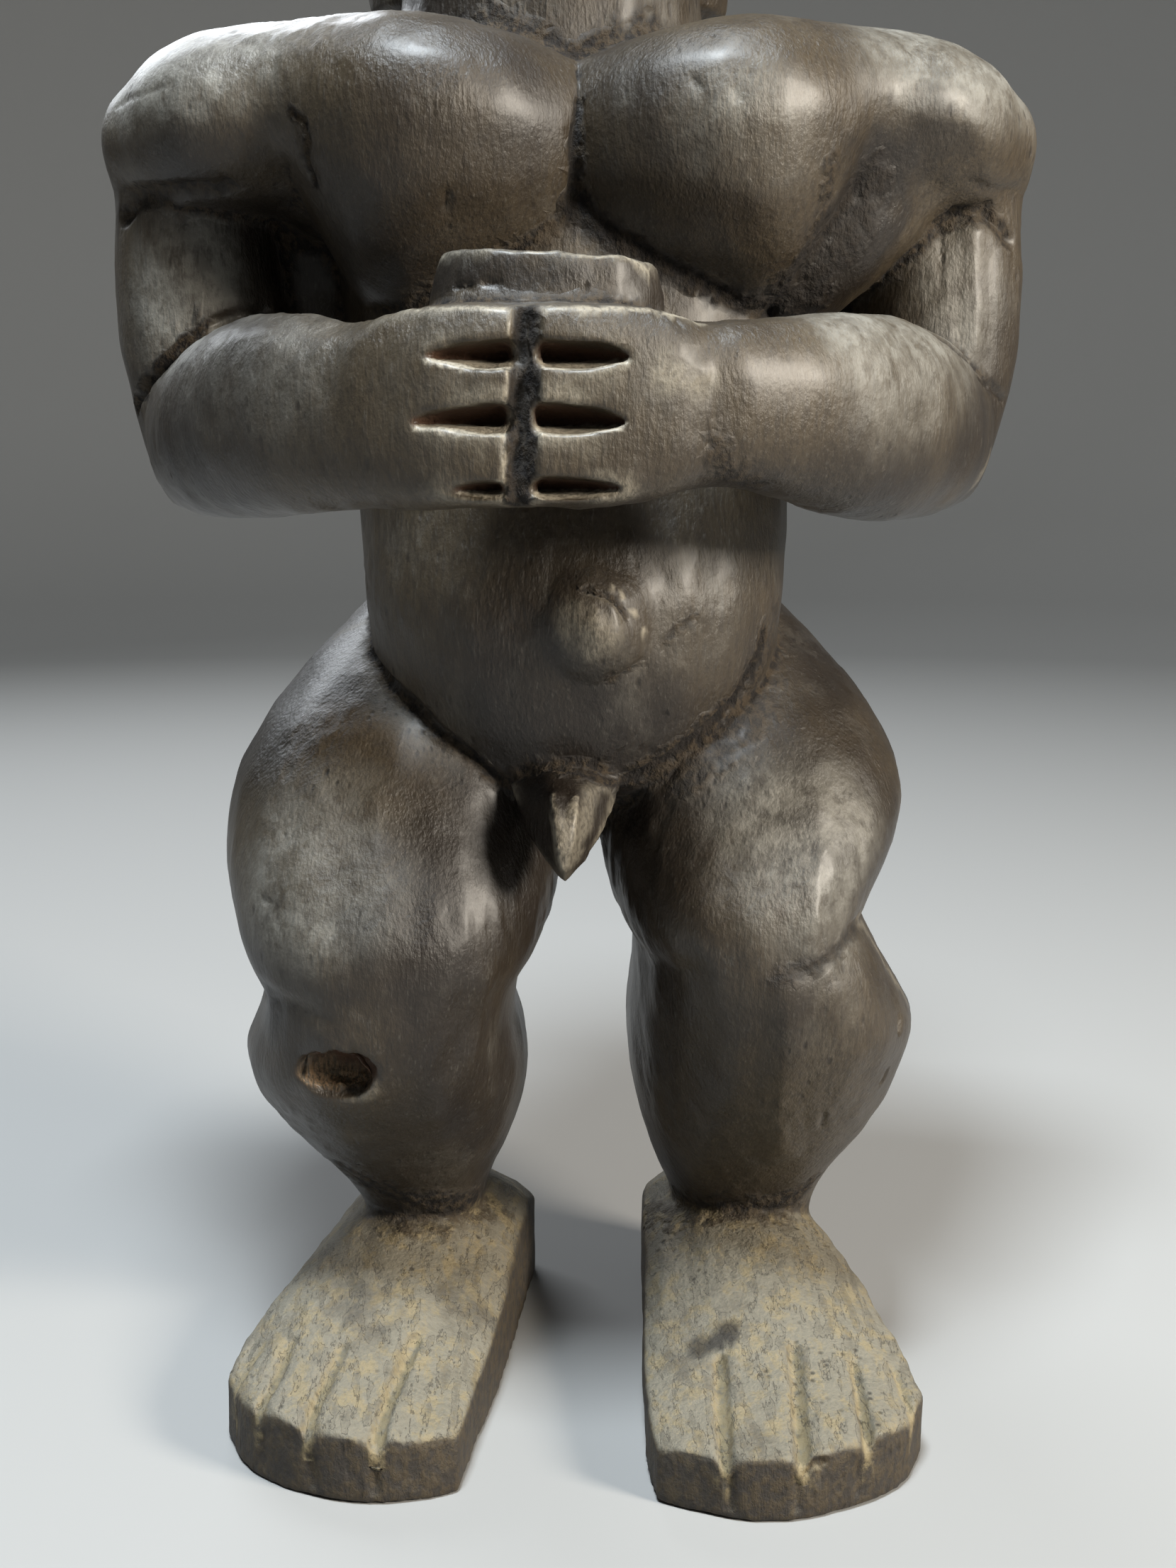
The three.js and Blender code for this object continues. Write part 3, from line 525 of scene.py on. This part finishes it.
def channelCutter():
    (topX, topZ), (footX, footZ) = channel["top"], channel["foot"]
    deselectAll()
    bpy.ops.mesh.primitive_cube_add(size=mm)
    cutter = bpy.context.object
    cutter.scale = (channel["width"], channel["cutterDepth"], math.hypot(topX - footX, topZ - footZ))
    cutter.rotation_euler = (0, math.atan2(topX - footX, topZ - footZ), 0)
    middle = ((topX + footX) / 2, channel["floor"] - channel["cutterDepth"] / 2, (topZ + footZ) / 2)
    cutter.location = Vector(middle) * mm
    bpy.ops.object.transform_apply(location=True, rotation=True, scale=True)
    return cutter


def slitCutters():  # half almonds with a low lip in front, flat where they end at the meeting line
    parts = []
    for wide, tip, floor, arch, lip in slits:
        inside = (slitShape["depth"], arch, slitShape["bed"])
        ledge = (slitShape["lipDepth"], slitShape["lipArch"], lip)
        for depth, above, below in (inside, ledge):
            deselectAll()
            bpy.ops.mesh.primitive_uv_sphere_add(segments=40, ring_count=20, radius=mm,
                                                 rotation=(0, math.pi / 2, 0))
            cutter = bpy.context.object
            bpy.ops.object.transform_apply(rotation=True)
            for vertex in cutter.data.vertices:
                vertex.co.z *= above if vertex.co.z > 0 else below
            cutter.scale = (abs(tip - wide), depth, 1)
            cutter.location = (wide * mm, slitShape["front"] * mm, floor * mm)
            bpy.ops.object.transform_apply(location=True, scale=True)
            bpy.ops.object.mode_set(mode="EDIT")
            bpy.ops.mesh.select_all(action="SELECT")
            outward = math.copysign(1, wide - tip)
            bpy.ops.mesh.bisect(plane_co=(wide * mm, 0, 0), plane_no=(outward, 0, 0), use_fill=True,
                                clear_outer=True)
            bpy.ops.object.mode_set(mode="OBJECT")
            parts.append(cutter)
    return parts


figure = copyOfNode("figure", "carvedFigure")
for cutter in (channelCutter(), *slitCutters()):
    applyModifier(figure, "BOOLEAN", operation="DIFFERENCE", solver="EXACT", object=cutter)
    bpy.data.objects.remove(cutter)
creases = creasePoints(figure, carving["hollowAngle"], carving["ridgeAngle"], carving["creaseStep"] * mm)
steps = carving["crispSteps"]
for edge in crisp:
    for start, end in zip(edge, edge[1:]):
        creases.extend(Vector(start).lerp(Vector(end), i / steps) * mm for i in range(steps + 1))
print("cut again:", len(figure.data.polygons), "faces,", len(creases), "points along creases")

applyModifier(figure, "REMESH", mode="VOXEL", voxel_size=carving["skin"] * mm, adaptivity=0,
              use_smooth_shade=True)
print("fine skin:", len(figure.data.vertices), "points")

edges = readEdges(figure.data)
rough = readPoints(figure.data)
creaseTree = pointTree(creases)
fromCrease = np.array([creaseTree.find(point)[2] for point in rough]) / mm
flow = np.zeros(len(rough))
for middle, reach in flowing:
    outward = np.linalg.norm((rough / mm - middle) / reach, axis=1)
    flow = np.maximum(flow, 1 - ramp(outward, *smoothing["flowFade"]))
fromCrease += smoothing["creaseInFlow"] * flow
onFoot = ramp(-rough[:, 2] / mm, -carving["footTop"], carving["footFade"] - carving["footTop"])
smooth = relaxed(rough, edges, smoothing["first"])
pull = smoothing["pull"] * ramp(fromCrease, *smoothing["ironingFrom"])
pull *= 1 - smoothing["footSpared"] * onFoot
smooth = relaxed(smooth, edges, smoothing["ironing"], pull)
least, added = smoothing["lastPull"]
smooth = relaxed(smooth, edges, smoothing["last"], least + added * ramp(fromCrease, *smoothing["lastFrom"]))
inFlow = edges[(flow[edges] > 0).all(axis=1)]
smooth = relaxed(smooth, inFlow, smoothing["inFlow"], smoothing["pull"] * flow)
broad = relaxed(smooth, edges, smoothing["broad"])
writePoints(figure.data, smooth)
normals = readNormals(figure.data)
hollow = ((broad - smooth) * normals).sum(axis=1) / mm  # over 0 in a crease, under 0 on an edge
print("smoothed between the creases")

# Planes, cuts and toe grooves
at = smooth / mm
for halfWidth, height, line in ridges:
    near, away = nearLine(at, normals, line, halfWidth)
    at[near] += (height * (1 - away / halfWidth))[:, None] * normals[near]
for halfWidth, depth, line in cuts:
    near, away = nearLine(at, normals, line, halfWidth)
    wander = 1 + 0.35 * cloud(at[near], 4, 11)
    at[near] -= (depth * wander * (1 - away / halfWidth))[:, None] * normals[near]
grooved = np.zeros(len(at))
for halfWidth, depth, line in toeGrooves:
    x, y = line[-1][:2]
    near, away = nearLine(at, normals, [(x, y + shift, z) for shift, z in toes["notchLine"]], toes["notch"])
    at[near] -= (0.5 * depth * (1 - away / toes["notch"]) ** 2)[:, None] * normals[near]
    forward = np.clip((y + toes["slope"] - at[:, 1]) / toes["slope"], 0, toes["slopeEnd"])
    aside = np.abs(at[:, 0] - x) / (1 + toes["spread"] * forward)
    isToe = (at[:, 2] > toes["fallFrom"][0]) & (at[:, 2] < toes["edgeTop"]) & (aside < 1)
    fall = toes["fall"] * depth / 2 * forward * (1 - aside)
    at[isToe, 2] -= (fall * ramp(at[:, 2], *toes["fallFrom"]))[isToe]
    # The groove itself is cut straight down, so it is measured as seen from above
    flat = at * (1, 1, 0)
    near, away = nearLine(flat, np.zeros_like(at), np.array(line) * (1, 1, 0), halfWidth + 0.5)
    low, high = toes["grooveHeights"]
    isTop = (at[near, 2] > low) & (at[near, 2] < high)
    near, away = near[isTop], away[isTop]
    trough = np.clip(toes["grooveSides"] * (1 - away / (halfWidth + 0.5)), 0, 1)
    at[near, 2] -= depth * trough * (0.85 + 0.15 * cloud(at[near], 3, 12))
    grooved[near] = np.maximum(grooved[near], trough)
writePoints(figure.data, at * mm)
normals = readNormals(figure.data)
print("planes, cuts and grooves done")

# Where dirt has caked, where the stain is rubbed off and where highlights are painted on edges, where stains
# and painted shade darken the wood, and the dark inside of the slits
crust = ramp(hollow + soiling["dirtPatches"] * cloud(at, 6, 3), *soiling["dirtFrom"])
crust *= 1 - soiling["footSpared"] * onFoot
brush(crust, at, normals, dirt, **brushes["dirt"])
wearAndHighlight = soiling["wearAndHighlight"] * ramp(-hollow, *soiling["wornFrom"])
wearAndHighlight *= ramp(cloud(at, 9, 14), *soiling["wornPatches"])
wearAndHighlight *= 1 - crust
brush(wearAndHighlight, at, normals, rubbedAndHighlit, **brushes["rubbedAndHighlit"])
stainAndShade = np.zeros(len(at))
brush(stainAndShade, at, normals, stainedAndShaded, **brushes["stainedAndShaded"])
inSlit = np.zeros(len(at))
for wide, tip, floor, arch, lip in slits:
    reach = np.clip((at[:, 0] - wide) / (tip - wide), 0, 1)
    width = np.sqrt(1 - reach ** 2)
    isFront = (at[:, 1] < slitShape["front"] + slitShape["stainReach"]) & (reach > 0) & (reach < 1)
    isInside = isFront & (at[:, 2] > floor - 0.7 * width - 0.2) & (at[:, 2] < floor + arch * width - 0.3)
    isLip = isFront & (at[:, 2] > floor - (lip + 0.5) * width) & (at[:, 2] < floor + 0.2)
    isLip &= normals[:, 2] > 0.2  # it faces up, and gets a painted highlight
    inSlit[isInside & (hollow > -0.2)] = 1
    inSlit[isLip] = 0
    # painted highlight on the upward-facing lip, in the colour of worn wood
    wearAndHighlight[isLip] = soiling["lipHighlight"]
    crust[isLip] = 0
inSlit = relaxed(np.stack([inSlit] * 3, axis=1), edges, 1, 0.5)[:, 0]

# Relief of the worked surface, the dirt and the broken place, along the normal
clean = (1 - crust) * (1 - inSlit)
gougeHeight, gougeSize, gougeSeed = surface["gouges"]
relief = gougeHeight * (scoops(at, gougeSize, gougeSeed) - 0.4) * clean
relief += sum(height * cloud(at, size, seed) for height, size, seed in surface["waves"]) * clean
everywhere, inPatches = surface["chatter"]
chatter = everywhere + inPatches * ramp(cloud(at, *surface["chatterPatches"]), 0.0, 0.6)
relief += chatter * cloud(at, *surface["chatterMarks"]) * clean
grit = sum(share * cloud(at, size, seed) for share, size, seed in surface["grit"])
relief += surface["crust"] * crust * (grit - 0.25) * (1 - 0.75 * grooved)

gap = (at - np.array(chip["middle"])) / np.array(chip["reach"])
chipReach = np.linalg.norm(gap * (1, 0.35, 1), axis=1) + chip["ragged"] * cloud(at, chip["raggedSize"], 8)
chipped = (1 - ramp(chipReach, *chip["rim"])) * (np.abs(gap[:, 1]) < 1)
fibre = cloud(at, chip["fibreSize"], 9)
relief -= chipped * (chip["depth"] * ramp(gap[:, 2], *chip["slope"]) - chip["fibre"] * fibre - chip["spared"])
at += relief[:, None] * normals
at[:, 2] = np.maximum(at[:, 2], 0)
writePoints(figure.data, at * mm)
print("surface worked")

# Grey patina and painted sheen, strongest where the wood faces the light from above and in front, dust on the
# feet, and the two tones of the broken place
facing = readNormals(figure.data)
isUp = ramp(facing[:, 2], 0.15, 0.75)
# painted sheen: lighter on wood that faces the light from above and in front
facesLight = ramp(facing @ sheenAndDustSettings["side"], -0.1, 0.8)
sheenAndDust = np.zeros(len(at))
patches = sheenAndDustSettings["patches"] * cloud(at, sheenAndDustSettings["patchSize"], 17)
for middle, reach, strength in patinaAndSheen:
    within = 1 - ramp(np.linalg.norm((at - middle) / reach, axis=1) + patches, *sheenAndDustSettings["fade"])
    sheenAndDust = np.maximum(sheenAndDust, strength * within * facesLight)
onSides, onTop = sheenAndDustSettings["onFoot"]
sheenAndDust = onFoot * (onSides + onTop * isUp) + sheenAndDust * (1 - onFoot)
inChip = gap[:, 2] + 0.5 * gap[:, 0] + 0.25 * fibre
deep = np.maximum(inSlit, chipped * ramp(inChip, *chip["darkFrom"]))
bare = chipped * (1 - deep)
masks = {  # two colour attributes that hold four masks each
    "marks": {"crust": crust, "wearAndHighlight": wearAndHighlight, "bare": bare, "sheenAndDust": sheenAndDust},
    "stainsAndShade": {"deep": deep, "grooved": grooved, "foot": onFoot, "stainAndShade": stainAndShade},
}

applyModifier(figure, "TRIANGULATE")
applyModifier(figure, "DECIMATE", ratio=min(1, carving["faces"] / len(figure.data.polygons)))
skinTree = pointTree(at)
nearest = np.array([skinTree.find(point)[1] for point in readPoints(figure.data) / mm])
for name, parts in masks.items():
    attribute = figure.data.attributes.new(name, "FLOAT_COLOR", "POINT")
    colours = np.clip(np.stack(list(parts.values()), axis=1), 0, 1)[nearest]
    attribute.data.foreach_set("color", colours.astype(np.float32).ravel())
makeActive(figure)
bpy.ops.object.shade_smooth()
print("skin thinned:", len(figure.data.polygons), "faces")


# Finishes

def noiseNode(tree, scale, stretch=(1, 1, 1), detail=4, roughness=0.55, kind="NOISE", offset=(0, 0, 0)):
    coordinate = tree.nodes.new("ShaderNodeTexCoord")
    mapping = tree.nodes.new("ShaderNodeMapping")
    mapping.inputs["Scale"].default_value = stretch
    mapping.inputs["Location"].default_value = offset
    tree.links.new(coordinate.outputs["Object"], mapping.inputs["Vector"])
    if kind == "NOISE":
        texture = tree.nodes.new("ShaderNodeTexNoise")
        texture.inputs["Detail"].default_value = detail
        texture.inputs["Roughness"].default_value = roughness
    else:
        texture = tree.nodes.new("ShaderNodeTexVoronoi")
    texture.inputs["Scale"].default_value = scale
    tree.links.new(mapping.outputs["Vector"], texture.inputs["Vector"])
    return texture.outputs["Fac" if kind == "NOISE" else "Distance"]


def mapRange(tree, value, low, high, toLow=0.0, toHigh=1.0):
    node = tree.nodes.new("ShaderNodeMapRange")
    node.interpolation_type = "SMOOTHSTEP"
    node.inputs["From Min"].default_value = low
    node.inputs["From Max"].default_value = high
    node.inputs["To Min"].default_value = toLow
    node.inputs["To Max"].default_value = toHigh
    tree.links.new(value, node.inputs["Value"])
    return node.outputs["Result"]


def feed(tree, socket, value):
    if isinstance(value, (int, float)):
        socket.default_value = value
    elif isinstance(value, tuple):
        socket.default_value = (*value, 1)
    else:
        tree.links.new(value, socket)


def calc(tree, operation, *values):
    node = tree.nodes.new("ShaderNodeMath")
    node.operation = operation
    for socket, value in zip(node.inputs, values):
        feed(tree, socket, value)
    return node.outputs["Value"]


def times(tree, value, *others):
    for other in others:
        value = calc(tree, "MULTIPLY", value, other)
    return value


def mixColour(tree, factor, a, b):
    node = tree.nodes.new("ShaderNodeMix")
    node.data_type = "RGBA"
    colours = [socket for socket in node.inputs if socket.type == "RGBA"]
    feed(tree, node.inputs[0], factor)
    feed(tree, colours[0], a)
    feed(tree, colours[1], b)
    return [socket for socket in node.outputs if socket.type == "RGBA"][0]


def mixNumber(tree, factor, a, b):
    node = tree.nodes.new("ShaderNodeMix")
    node.data_type = "FLOAT"
    for socket, value in zip((node.inputs[0], node.inputs[2], node.inputs[3]), (factor, a, b)):
        feed(tree, socket, value)
    return node.outputs[0]


def splitAttribute(tree, name):
    attribute = tree.nodes.new("ShaderNodeAttribute")
    attribute.attribute_name = name
    split = tree.nodes.new("ShaderNodeSeparateColor")
    tree.links.new(attribute.outputs["Color"], split.inputs["Color"])
    return split.outputs["Red"], split.outputs["Green"], split.outputs["Blue"], attribute.outputs["Alpha"]


finish = {
    "dark": (0.013, 0.009, 0.006),
    "brown": (0.048, 0.035, 0.020),
    # grey patina, also the colour of the painted sheen
    "grey": (0.190, 0.180, 0.156),
    "crust": (0.038, 0.027, 0.016),
    # black of the stains, the painted shade and the darkest crust
    "black": (0.008, 0.006, 0.005),
    # light wood of worn edges, also the colour of the painted highlights
    "wearAndHighlight": (0.27, 0.24, 0.185),
    "bare": (0.13, 0.082, 0.043),
    "deep": (0.048, 0.022, 0.010),
    "dust": (0.152, 0.137, 0.104),
    "ochre": (0.205, 0.163, 0.090),
    "footDark": (0.027, 0.022, 0.018),
}

patterns = {  # the higher the scale, the finer the marks, and a low stretch draws them out along that axis
    "blotch": dict(scale=15, stretch=(1, 1, 0.6), detail=5),
    "patch": dict(scale=42, stretch=(1, 1, 0.7), detail=6, roughness=0.65, offset=(3, 1, 0)),
    "grain": dict(scale=900, stretch=(1, 1, 0.2), detail=3),
    "streak": dict(scale=1700, stretch=(1, 1, 0.14), detail=2, offset=(4, 4, 4)),
    "fine": dict(scale=1000, stretch=(1, 1, 0.7), detail=3, offset=(1, 5, 2)),
    "fleck": dict(scale=260, stretch=(1, 1, 0.45), detail=7, roughness=0.72, offset=(9, 4, 2)),
    "lumps": dict(scale=480, stretch=(1, 1, 0.8), detail=4, roughness=0.6, offset=(6, 2, 3)),
    "flakes": dict(scale=210, stretch=(1, 0.7, 1), detail=6, roughness=0.7, offset=(2, 7, 5)),
    "drag": dict(scale=420, stretch=(1, 0.16, 1), detail=4, offset=(5, 3, 1)),
    "pits": dict(scale=330, stretch=(1, 1, 0.45), kind="VORONOI", offset=(2, 0, 1)),
}

cover = {  # pattern, the two values between which a layer comes in, and its share at each of them
    "brown": ("blotch", 0.36, 0.62, 0, 1),
    "greyPatches": ("patch", 0.52, 0.72, 0, 0.16),
    "darkGrain": ("grain", 0.42, 0.66, 0, 0.40),
    "greyStreaks": ("streak", 0.58, 0.74, 0, 0.14),
    "sheenPatches": ("patch", 0.34, 0.58, 0.40, 0.95),
    "sheenFlecks": ("fleck", 0.36, 0.50, 0.45, 1),
    "sheenFlakes": ("flakes", 0.40, 0.58, 0.55, 1),
    "strayFlecks": ("fleck", 0.62, 0.70, 0, 0.16),
    "wornGrain": ("fine", 0.35, 0.58, 0.45, 1),
    "footBrown": ("lumps", 0.40, 0.60, 0, 1),
    "ochreDust": ("flakes", 0.46, 0.62, 0, 0.75),
    "dustPatches": ("patch", 0.30, 0.50, 0.45, 1),
    "dustStreaks": ("drag", 0.30, 0.50, 0.65, 1),
    "dustGrain": ("fine", 0.30, 0.50, 0.8, 1),
    "grooveDust": ("lumps", 0.36, 0.56, 0.15, 0.85),
    "crustGrain": ("fine", 0.32, 0.56, 0.55, 1),
    "ochreCrust": ("flakes", 0.48, 0.58, 0.1, 0.8),
    "blackCrust": ("lumps", 0.44, 0.58, 1, 0),
    "bareFibre": ("streak", 0.4, 0.6, 0, 1),
    "pitHoles": ("pits", 0.05, 0.30, 1, 0),
    "pitPatches": ("patch", 0.50, 0.62, 0, 1),
    "gloss": ("patch", 0.35, 0.7, 0.42, 0.58),
}

amounts = {  # how much of a layer shows
    "crackLine": 0.46,  # value of the streaks along which the feet are cracked
    "crack": (0.003, 0.014, 0.6, 0),  # distance from that value, and the share at its ends
    "stainAndShade": 0.9,
    "crustStainAndShade": 0.85,
    "pits": 0.7,
}

sheen = {  # roughness of each surface, and the waxy coat of the handled wood
    "dirt": 0.9,
    "foot": 0.7,
    "bare": 0.7,
    "specular": 0.35,
    "coat": 0.26,
    "coatRoughness": 0.34,
}

bumps = {  # height that each pattern adds to the fine relief
    "patterns": {"grain": 0.45, "streak": 0.25, "fine": 0.60, "fleck": 0.9},
    "pits": 0.6,
    "cracks": 0.5,
    "lumps": 3.6,
    "footLumps": 0.30,
    "strength": 0.65,
    "distance": 0.0007,
}


def woodWithSheenColour(tree, share, mask, notFoot):  # dark wood, with a grey patina and a painted sheen where it faces the light
    colour = mixColour(tree, share["brown"], finish["dark"], finish["brown"])
    colour = mixColour(tree, share["greyPatches"], colour, finish["grey"])
    colour = mixColour(tree, share["darkGrain"], colour, finish["dark"])
    colour = mixColour(tree, share["greyStreaks"], colour, finish["grey"])
    # painted sheen with grey patina, broken up by patches, flecks and flakes
    sheenAndDust = times(tree, mask["sheenAndDust"], share["sheenPatches"], share["sheenFlecks"], share["sheenFlakes"])
    sheenAndDust = times(tree, calc(tree, "MAXIMUM", sheenAndDust, share["strayFlecks"]), notFoot)
    colour = mixColour(tree, sheenAndDust, colour, finish["grey"])
    return mixColour(tree, times(tree, mask["wearAndHighlight"], share["wornGrain"]), colour, finish["wearAndHighlight"])


def footColour(tree, share, mask, crack):  # dusty on top, with ochre flakes, streaks and fine cracks
    colour = mixColour(tree, share["footBrown"], finish["footDark"], finish["brown"])
    dustColour = mixColour(tree, share["ochreDust"], finish["dust"], finish["ochre"])
    dust = times(tree, mask["sheenAndDust"], share["dustPatches"], share["dustStreaks"], share["dustGrain"])
    colour = mixColour(tree, dust, colour, dustColour)
    colour = mixColour(tree, times(tree, mask["grooved"], share["grooveDust"]), colour, finish["ochre"])
    return mixColour(tree, crack, colour, finish["footDark"])


def crustColour(tree, share, mask, notFoot):  # caked dirt, ochre on the feet, and black where the stains and the painted shade lie
    colour = mixColour(tree, times(tree, mask["foot"], share["ochreCrust"]), finish["crust"], finish["ochre"])
    colour = mixColour(tree, times(tree, mask["stainAndShade"], amounts["crustStainAndShade"]), colour, finish["black"])
    return mixColour(tree, times(tree, share["blackCrust"], notFoot), colour, finish["black"])


def woodMaterial():
    material = bpy.data.materials.new("darkCarvedWood")
    material.use_nodes = True
    tree = material.node_tree
    shader = tree.nodes["Principled BSDF"]
    mask = dict(zip(masks["marks"], splitAttribute(tree, "marks")))
    mask.update(zip(masks["stainsAndShade"], splitAttribute(tree, "stainsAndShade")))
    noise = {name: noiseNode(tree, **pattern) for name, pattern in patterns.items()}
    share = {name: mapRange(tree, noise[source], *limits) for name, (source, *limits) in cover.items()}
    notFoot = calc(tree, "SUBTRACT", 1, mask["foot"])
    offLine = calc(tree, "ABSOLUTE", calc(tree, "SUBTRACT", noise["drag"], amounts["crackLine"]))
    crack = mapRange(tree, offLine, *amounts["crack"])
    pits = times(tree, share["pitHoles"], share["pitPatches"])

    colour = woodWithSheenColour(tree, share, mask, notFoot)
    colour = mixColour(tree, mask["foot"], colour, footColour(tree, share, mask, crack))
    # dark stains, and painted shade in the creases, the right armpit and the right shoulder's hollows
    colour = mixColour(tree, times(tree, mask["stainAndShade"], amounts["stainAndShade"]), colour, finish["black"])
    dirtyColour = crustColour(tree, share, mask, notFoot)
    colour = mixColour(tree, times(tree, mask["crust"], share["crustGrain"]), colour, dirtyColour)
    bareColour = mixColour(tree, share["bareFibre"], finish["brown"], finish["bare"])
    colour = mixColour(tree, mask["bare"], colour, bareColour)
    colour = mixColour(tree, mask["deep"], colour, finish["deep"])
    colour = mixColour(tree, times(tree, pits, amounts["pits"]), colour, finish["dark"])
    tree.links.new(colour, shader.inputs["Base Color"])

    gloss = mixNumber(tree, calc(tree, "MAXIMUM", mask["crust"], mask["deep"]), share["gloss"], sheen["dirt"])
    gloss = mixNumber(tree, mask["foot"], gloss, sheen["foot"])
    gloss = mixNumber(tree, calc(tree, "MAXIMUM", mask["bare"], mask["wearAndHighlight"]), gloss, sheen["bare"])
    tree.links.new(gloss, shader.inputs["Roughness"])
    shader.inputs["Specular IOR Level"].default_value = sheen["specular"]
    shader.inputs["Coat Roughness"].default_value = sheen["coatRoughness"]
    uncoated = calc(tree, "MAXIMUM", mask["crust"], mask["foot"])
    coat = times(tree, calc(tree, "SUBTRACT", 1, uncoated), sheen["coat"])
    tree.links.new(coat, shader.inputs["Coat Weight"])

    height = 0
    for name, amount in bumps["patterns"].items():
        height = calc(tree, "ADD", height, times(tree, noise[name], amount))
    height = calc(tree, "SUBTRACT", height, times(tree, pits, bumps["pits"]))
    height = calc(tree, "SUBTRACT", height, times(tree, crack, mask["foot"], bumps["cracks"]))
    lumpy = calc(tree, "MAXIMUM", mask["crust"], times(tree, mask["foot"], bumps["footLumps"]))
    height = calc(tree, "ADD", height, times(tree, lumpy, noise["lumps"], bumps["lumps"]))
    bump = tree.nodes.new("ShaderNodeBump")
    bump.inputs["Strength"].default_value = bumps["strength"]
    bump.inputs["Distance"].default_value = bumps["distance"]
    tree.links.new(height, bump.inputs["Height"])
    tree.links.new(bump.outputs["Normal"], shader.inputs["Normal"])
    return material


figure.data.materials.clear()
figure.data.materials.append(woodMaterial())
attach(figure, "root")
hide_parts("figure")
print("stainedAndShaded")


# Studio

studio = {
    "floor": (0.27, 0.267, 0.26),
    "floorRoughness": 0.85,
    "floorReach": 1.7,
    # How far the floor's edge goes out and up at each step
    "rise": [(1.18, 0.04), (1.12, 0.10), (1.07, 0.18), (1.03, 0.26), (1.01, 0.34), (1.0, 0.5)],
    "sky": (0.86, 0.88, 0.90),
    "skyStrength": 0.09,
    "camera": (-0.01648, -0.44202, 0.221),
    "cameraTilt": 80,  # degrees from straight down
    "cameraTurn": -2.5,
    "viewAngle": 46,
    "sensor": 36,
}

lights = {
    "keyLight": dict(place=(-0.10, -0.36, 1.36), target=(0, 0, 0.25), size=(0.28, 0.28), power=34,
                     colour=(0.84, 0.93, 1.0)),
    "warmLight": dict(place=(0.95, -0.68, 0.64), target=(0, 0, 0.22), size=(0.30, 0.34), power=28,
                      colour=(1.0, 0.92, 0.80)),
    "rimLight": dict(place=(-0.5, 1.0, 1.0), target=(0, 0, 0.3), size=(0.9, 0.5), power=13,
                     colour=(0.90, 0.95, 1.0)),
}

deselectAll()
bpy.ops.mesh.primitive_circle_add(vertices=128, radius=studio["floorReach"], fill_type="NGON",
                                  location=(0, 0, -0.0002))
floor = bpy.context.object
floor.name = "paleFloor"
bpy.ops.object.transform_apply(location=True)
bpy.ops.object.mode_set(mode="EDIT")
bpy.ops.mesh.select_mode(type="EDGE")
bpy.ops.mesh.select_all(action="SELECT")
for outward, up in studio["rise"]:
    bpy.ops.mesh.extrude_edges_move(TRANSFORM_OT_translate={"value": (0, 0, up)})
    bpy.ops.transform.resize(value=(outward, outward, 1), center_override=(0, 0, 0))
bpy.ops.object.mode_set(mode="OBJECT")
bpy.ops.object.shade_smooth()
floorMaterial = bpy.data.materials.new("paleFloor")
floorMaterial.use_nodes = True
floorShader = floorMaterial.node_tree.nodes["Principled BSDF"]
floorShader.inputs["Base Color"].default_value = (*studio["floor"], 1)
floorShader.inputs["Roughness"].default_value = studio["floorRoughness"]
floor.data.materials.append(floorMaterial)

world = bpy.data.worlds.new("studio")
bpy.context.scene.world = world
world.use_nodes = True
background = world.node_tree.nodes["Background"]
background.inputs["Color"].default_value = (*studio["sky"], 1)
background.inputs["Strength"].default_value = studio["skyStrength"]


def softLight(name, place, target, size, power, colour):
    light = bpy.data.lights.new(name, "AREA")
    light.shape = "RECTANGLE"
    light.size, light.size_y = size
    light.energy = power
    light.color = colour
    holder = bpy.data.objects.new(name, light)
    bpy.context.scene.collection.objects.link(holder)
    holder.location = place
    holder.rotation_euler = (Vector(target) - Vector(place)).to_track_quat("-Z", "Y").to_euler()


for name, settings in lights.items():
    softLight(name, **settings)

camera = bpy.data.objects.new("camera", bpy.data.cameras.new("camera"))
bpy.context.scene.collection.objects.link(camera)
camera.location = studio["camera"]
camera.rotation_euler = (math.radians(studio["cameraTilt"]), 0, math.radians(studio["cameraTurn"]))
camera.data.sensor_width = studio["sensor"]
camera.data.lens = studio["sensor"] / 2 / math.tan(math.radians(studio["viewAngle"] / 2))
camera.data.clip_start = 0.01
bpy.context.scene.camera = camera
bpy.context.scene.view_settings.view_transform = "Standard"

print("done")
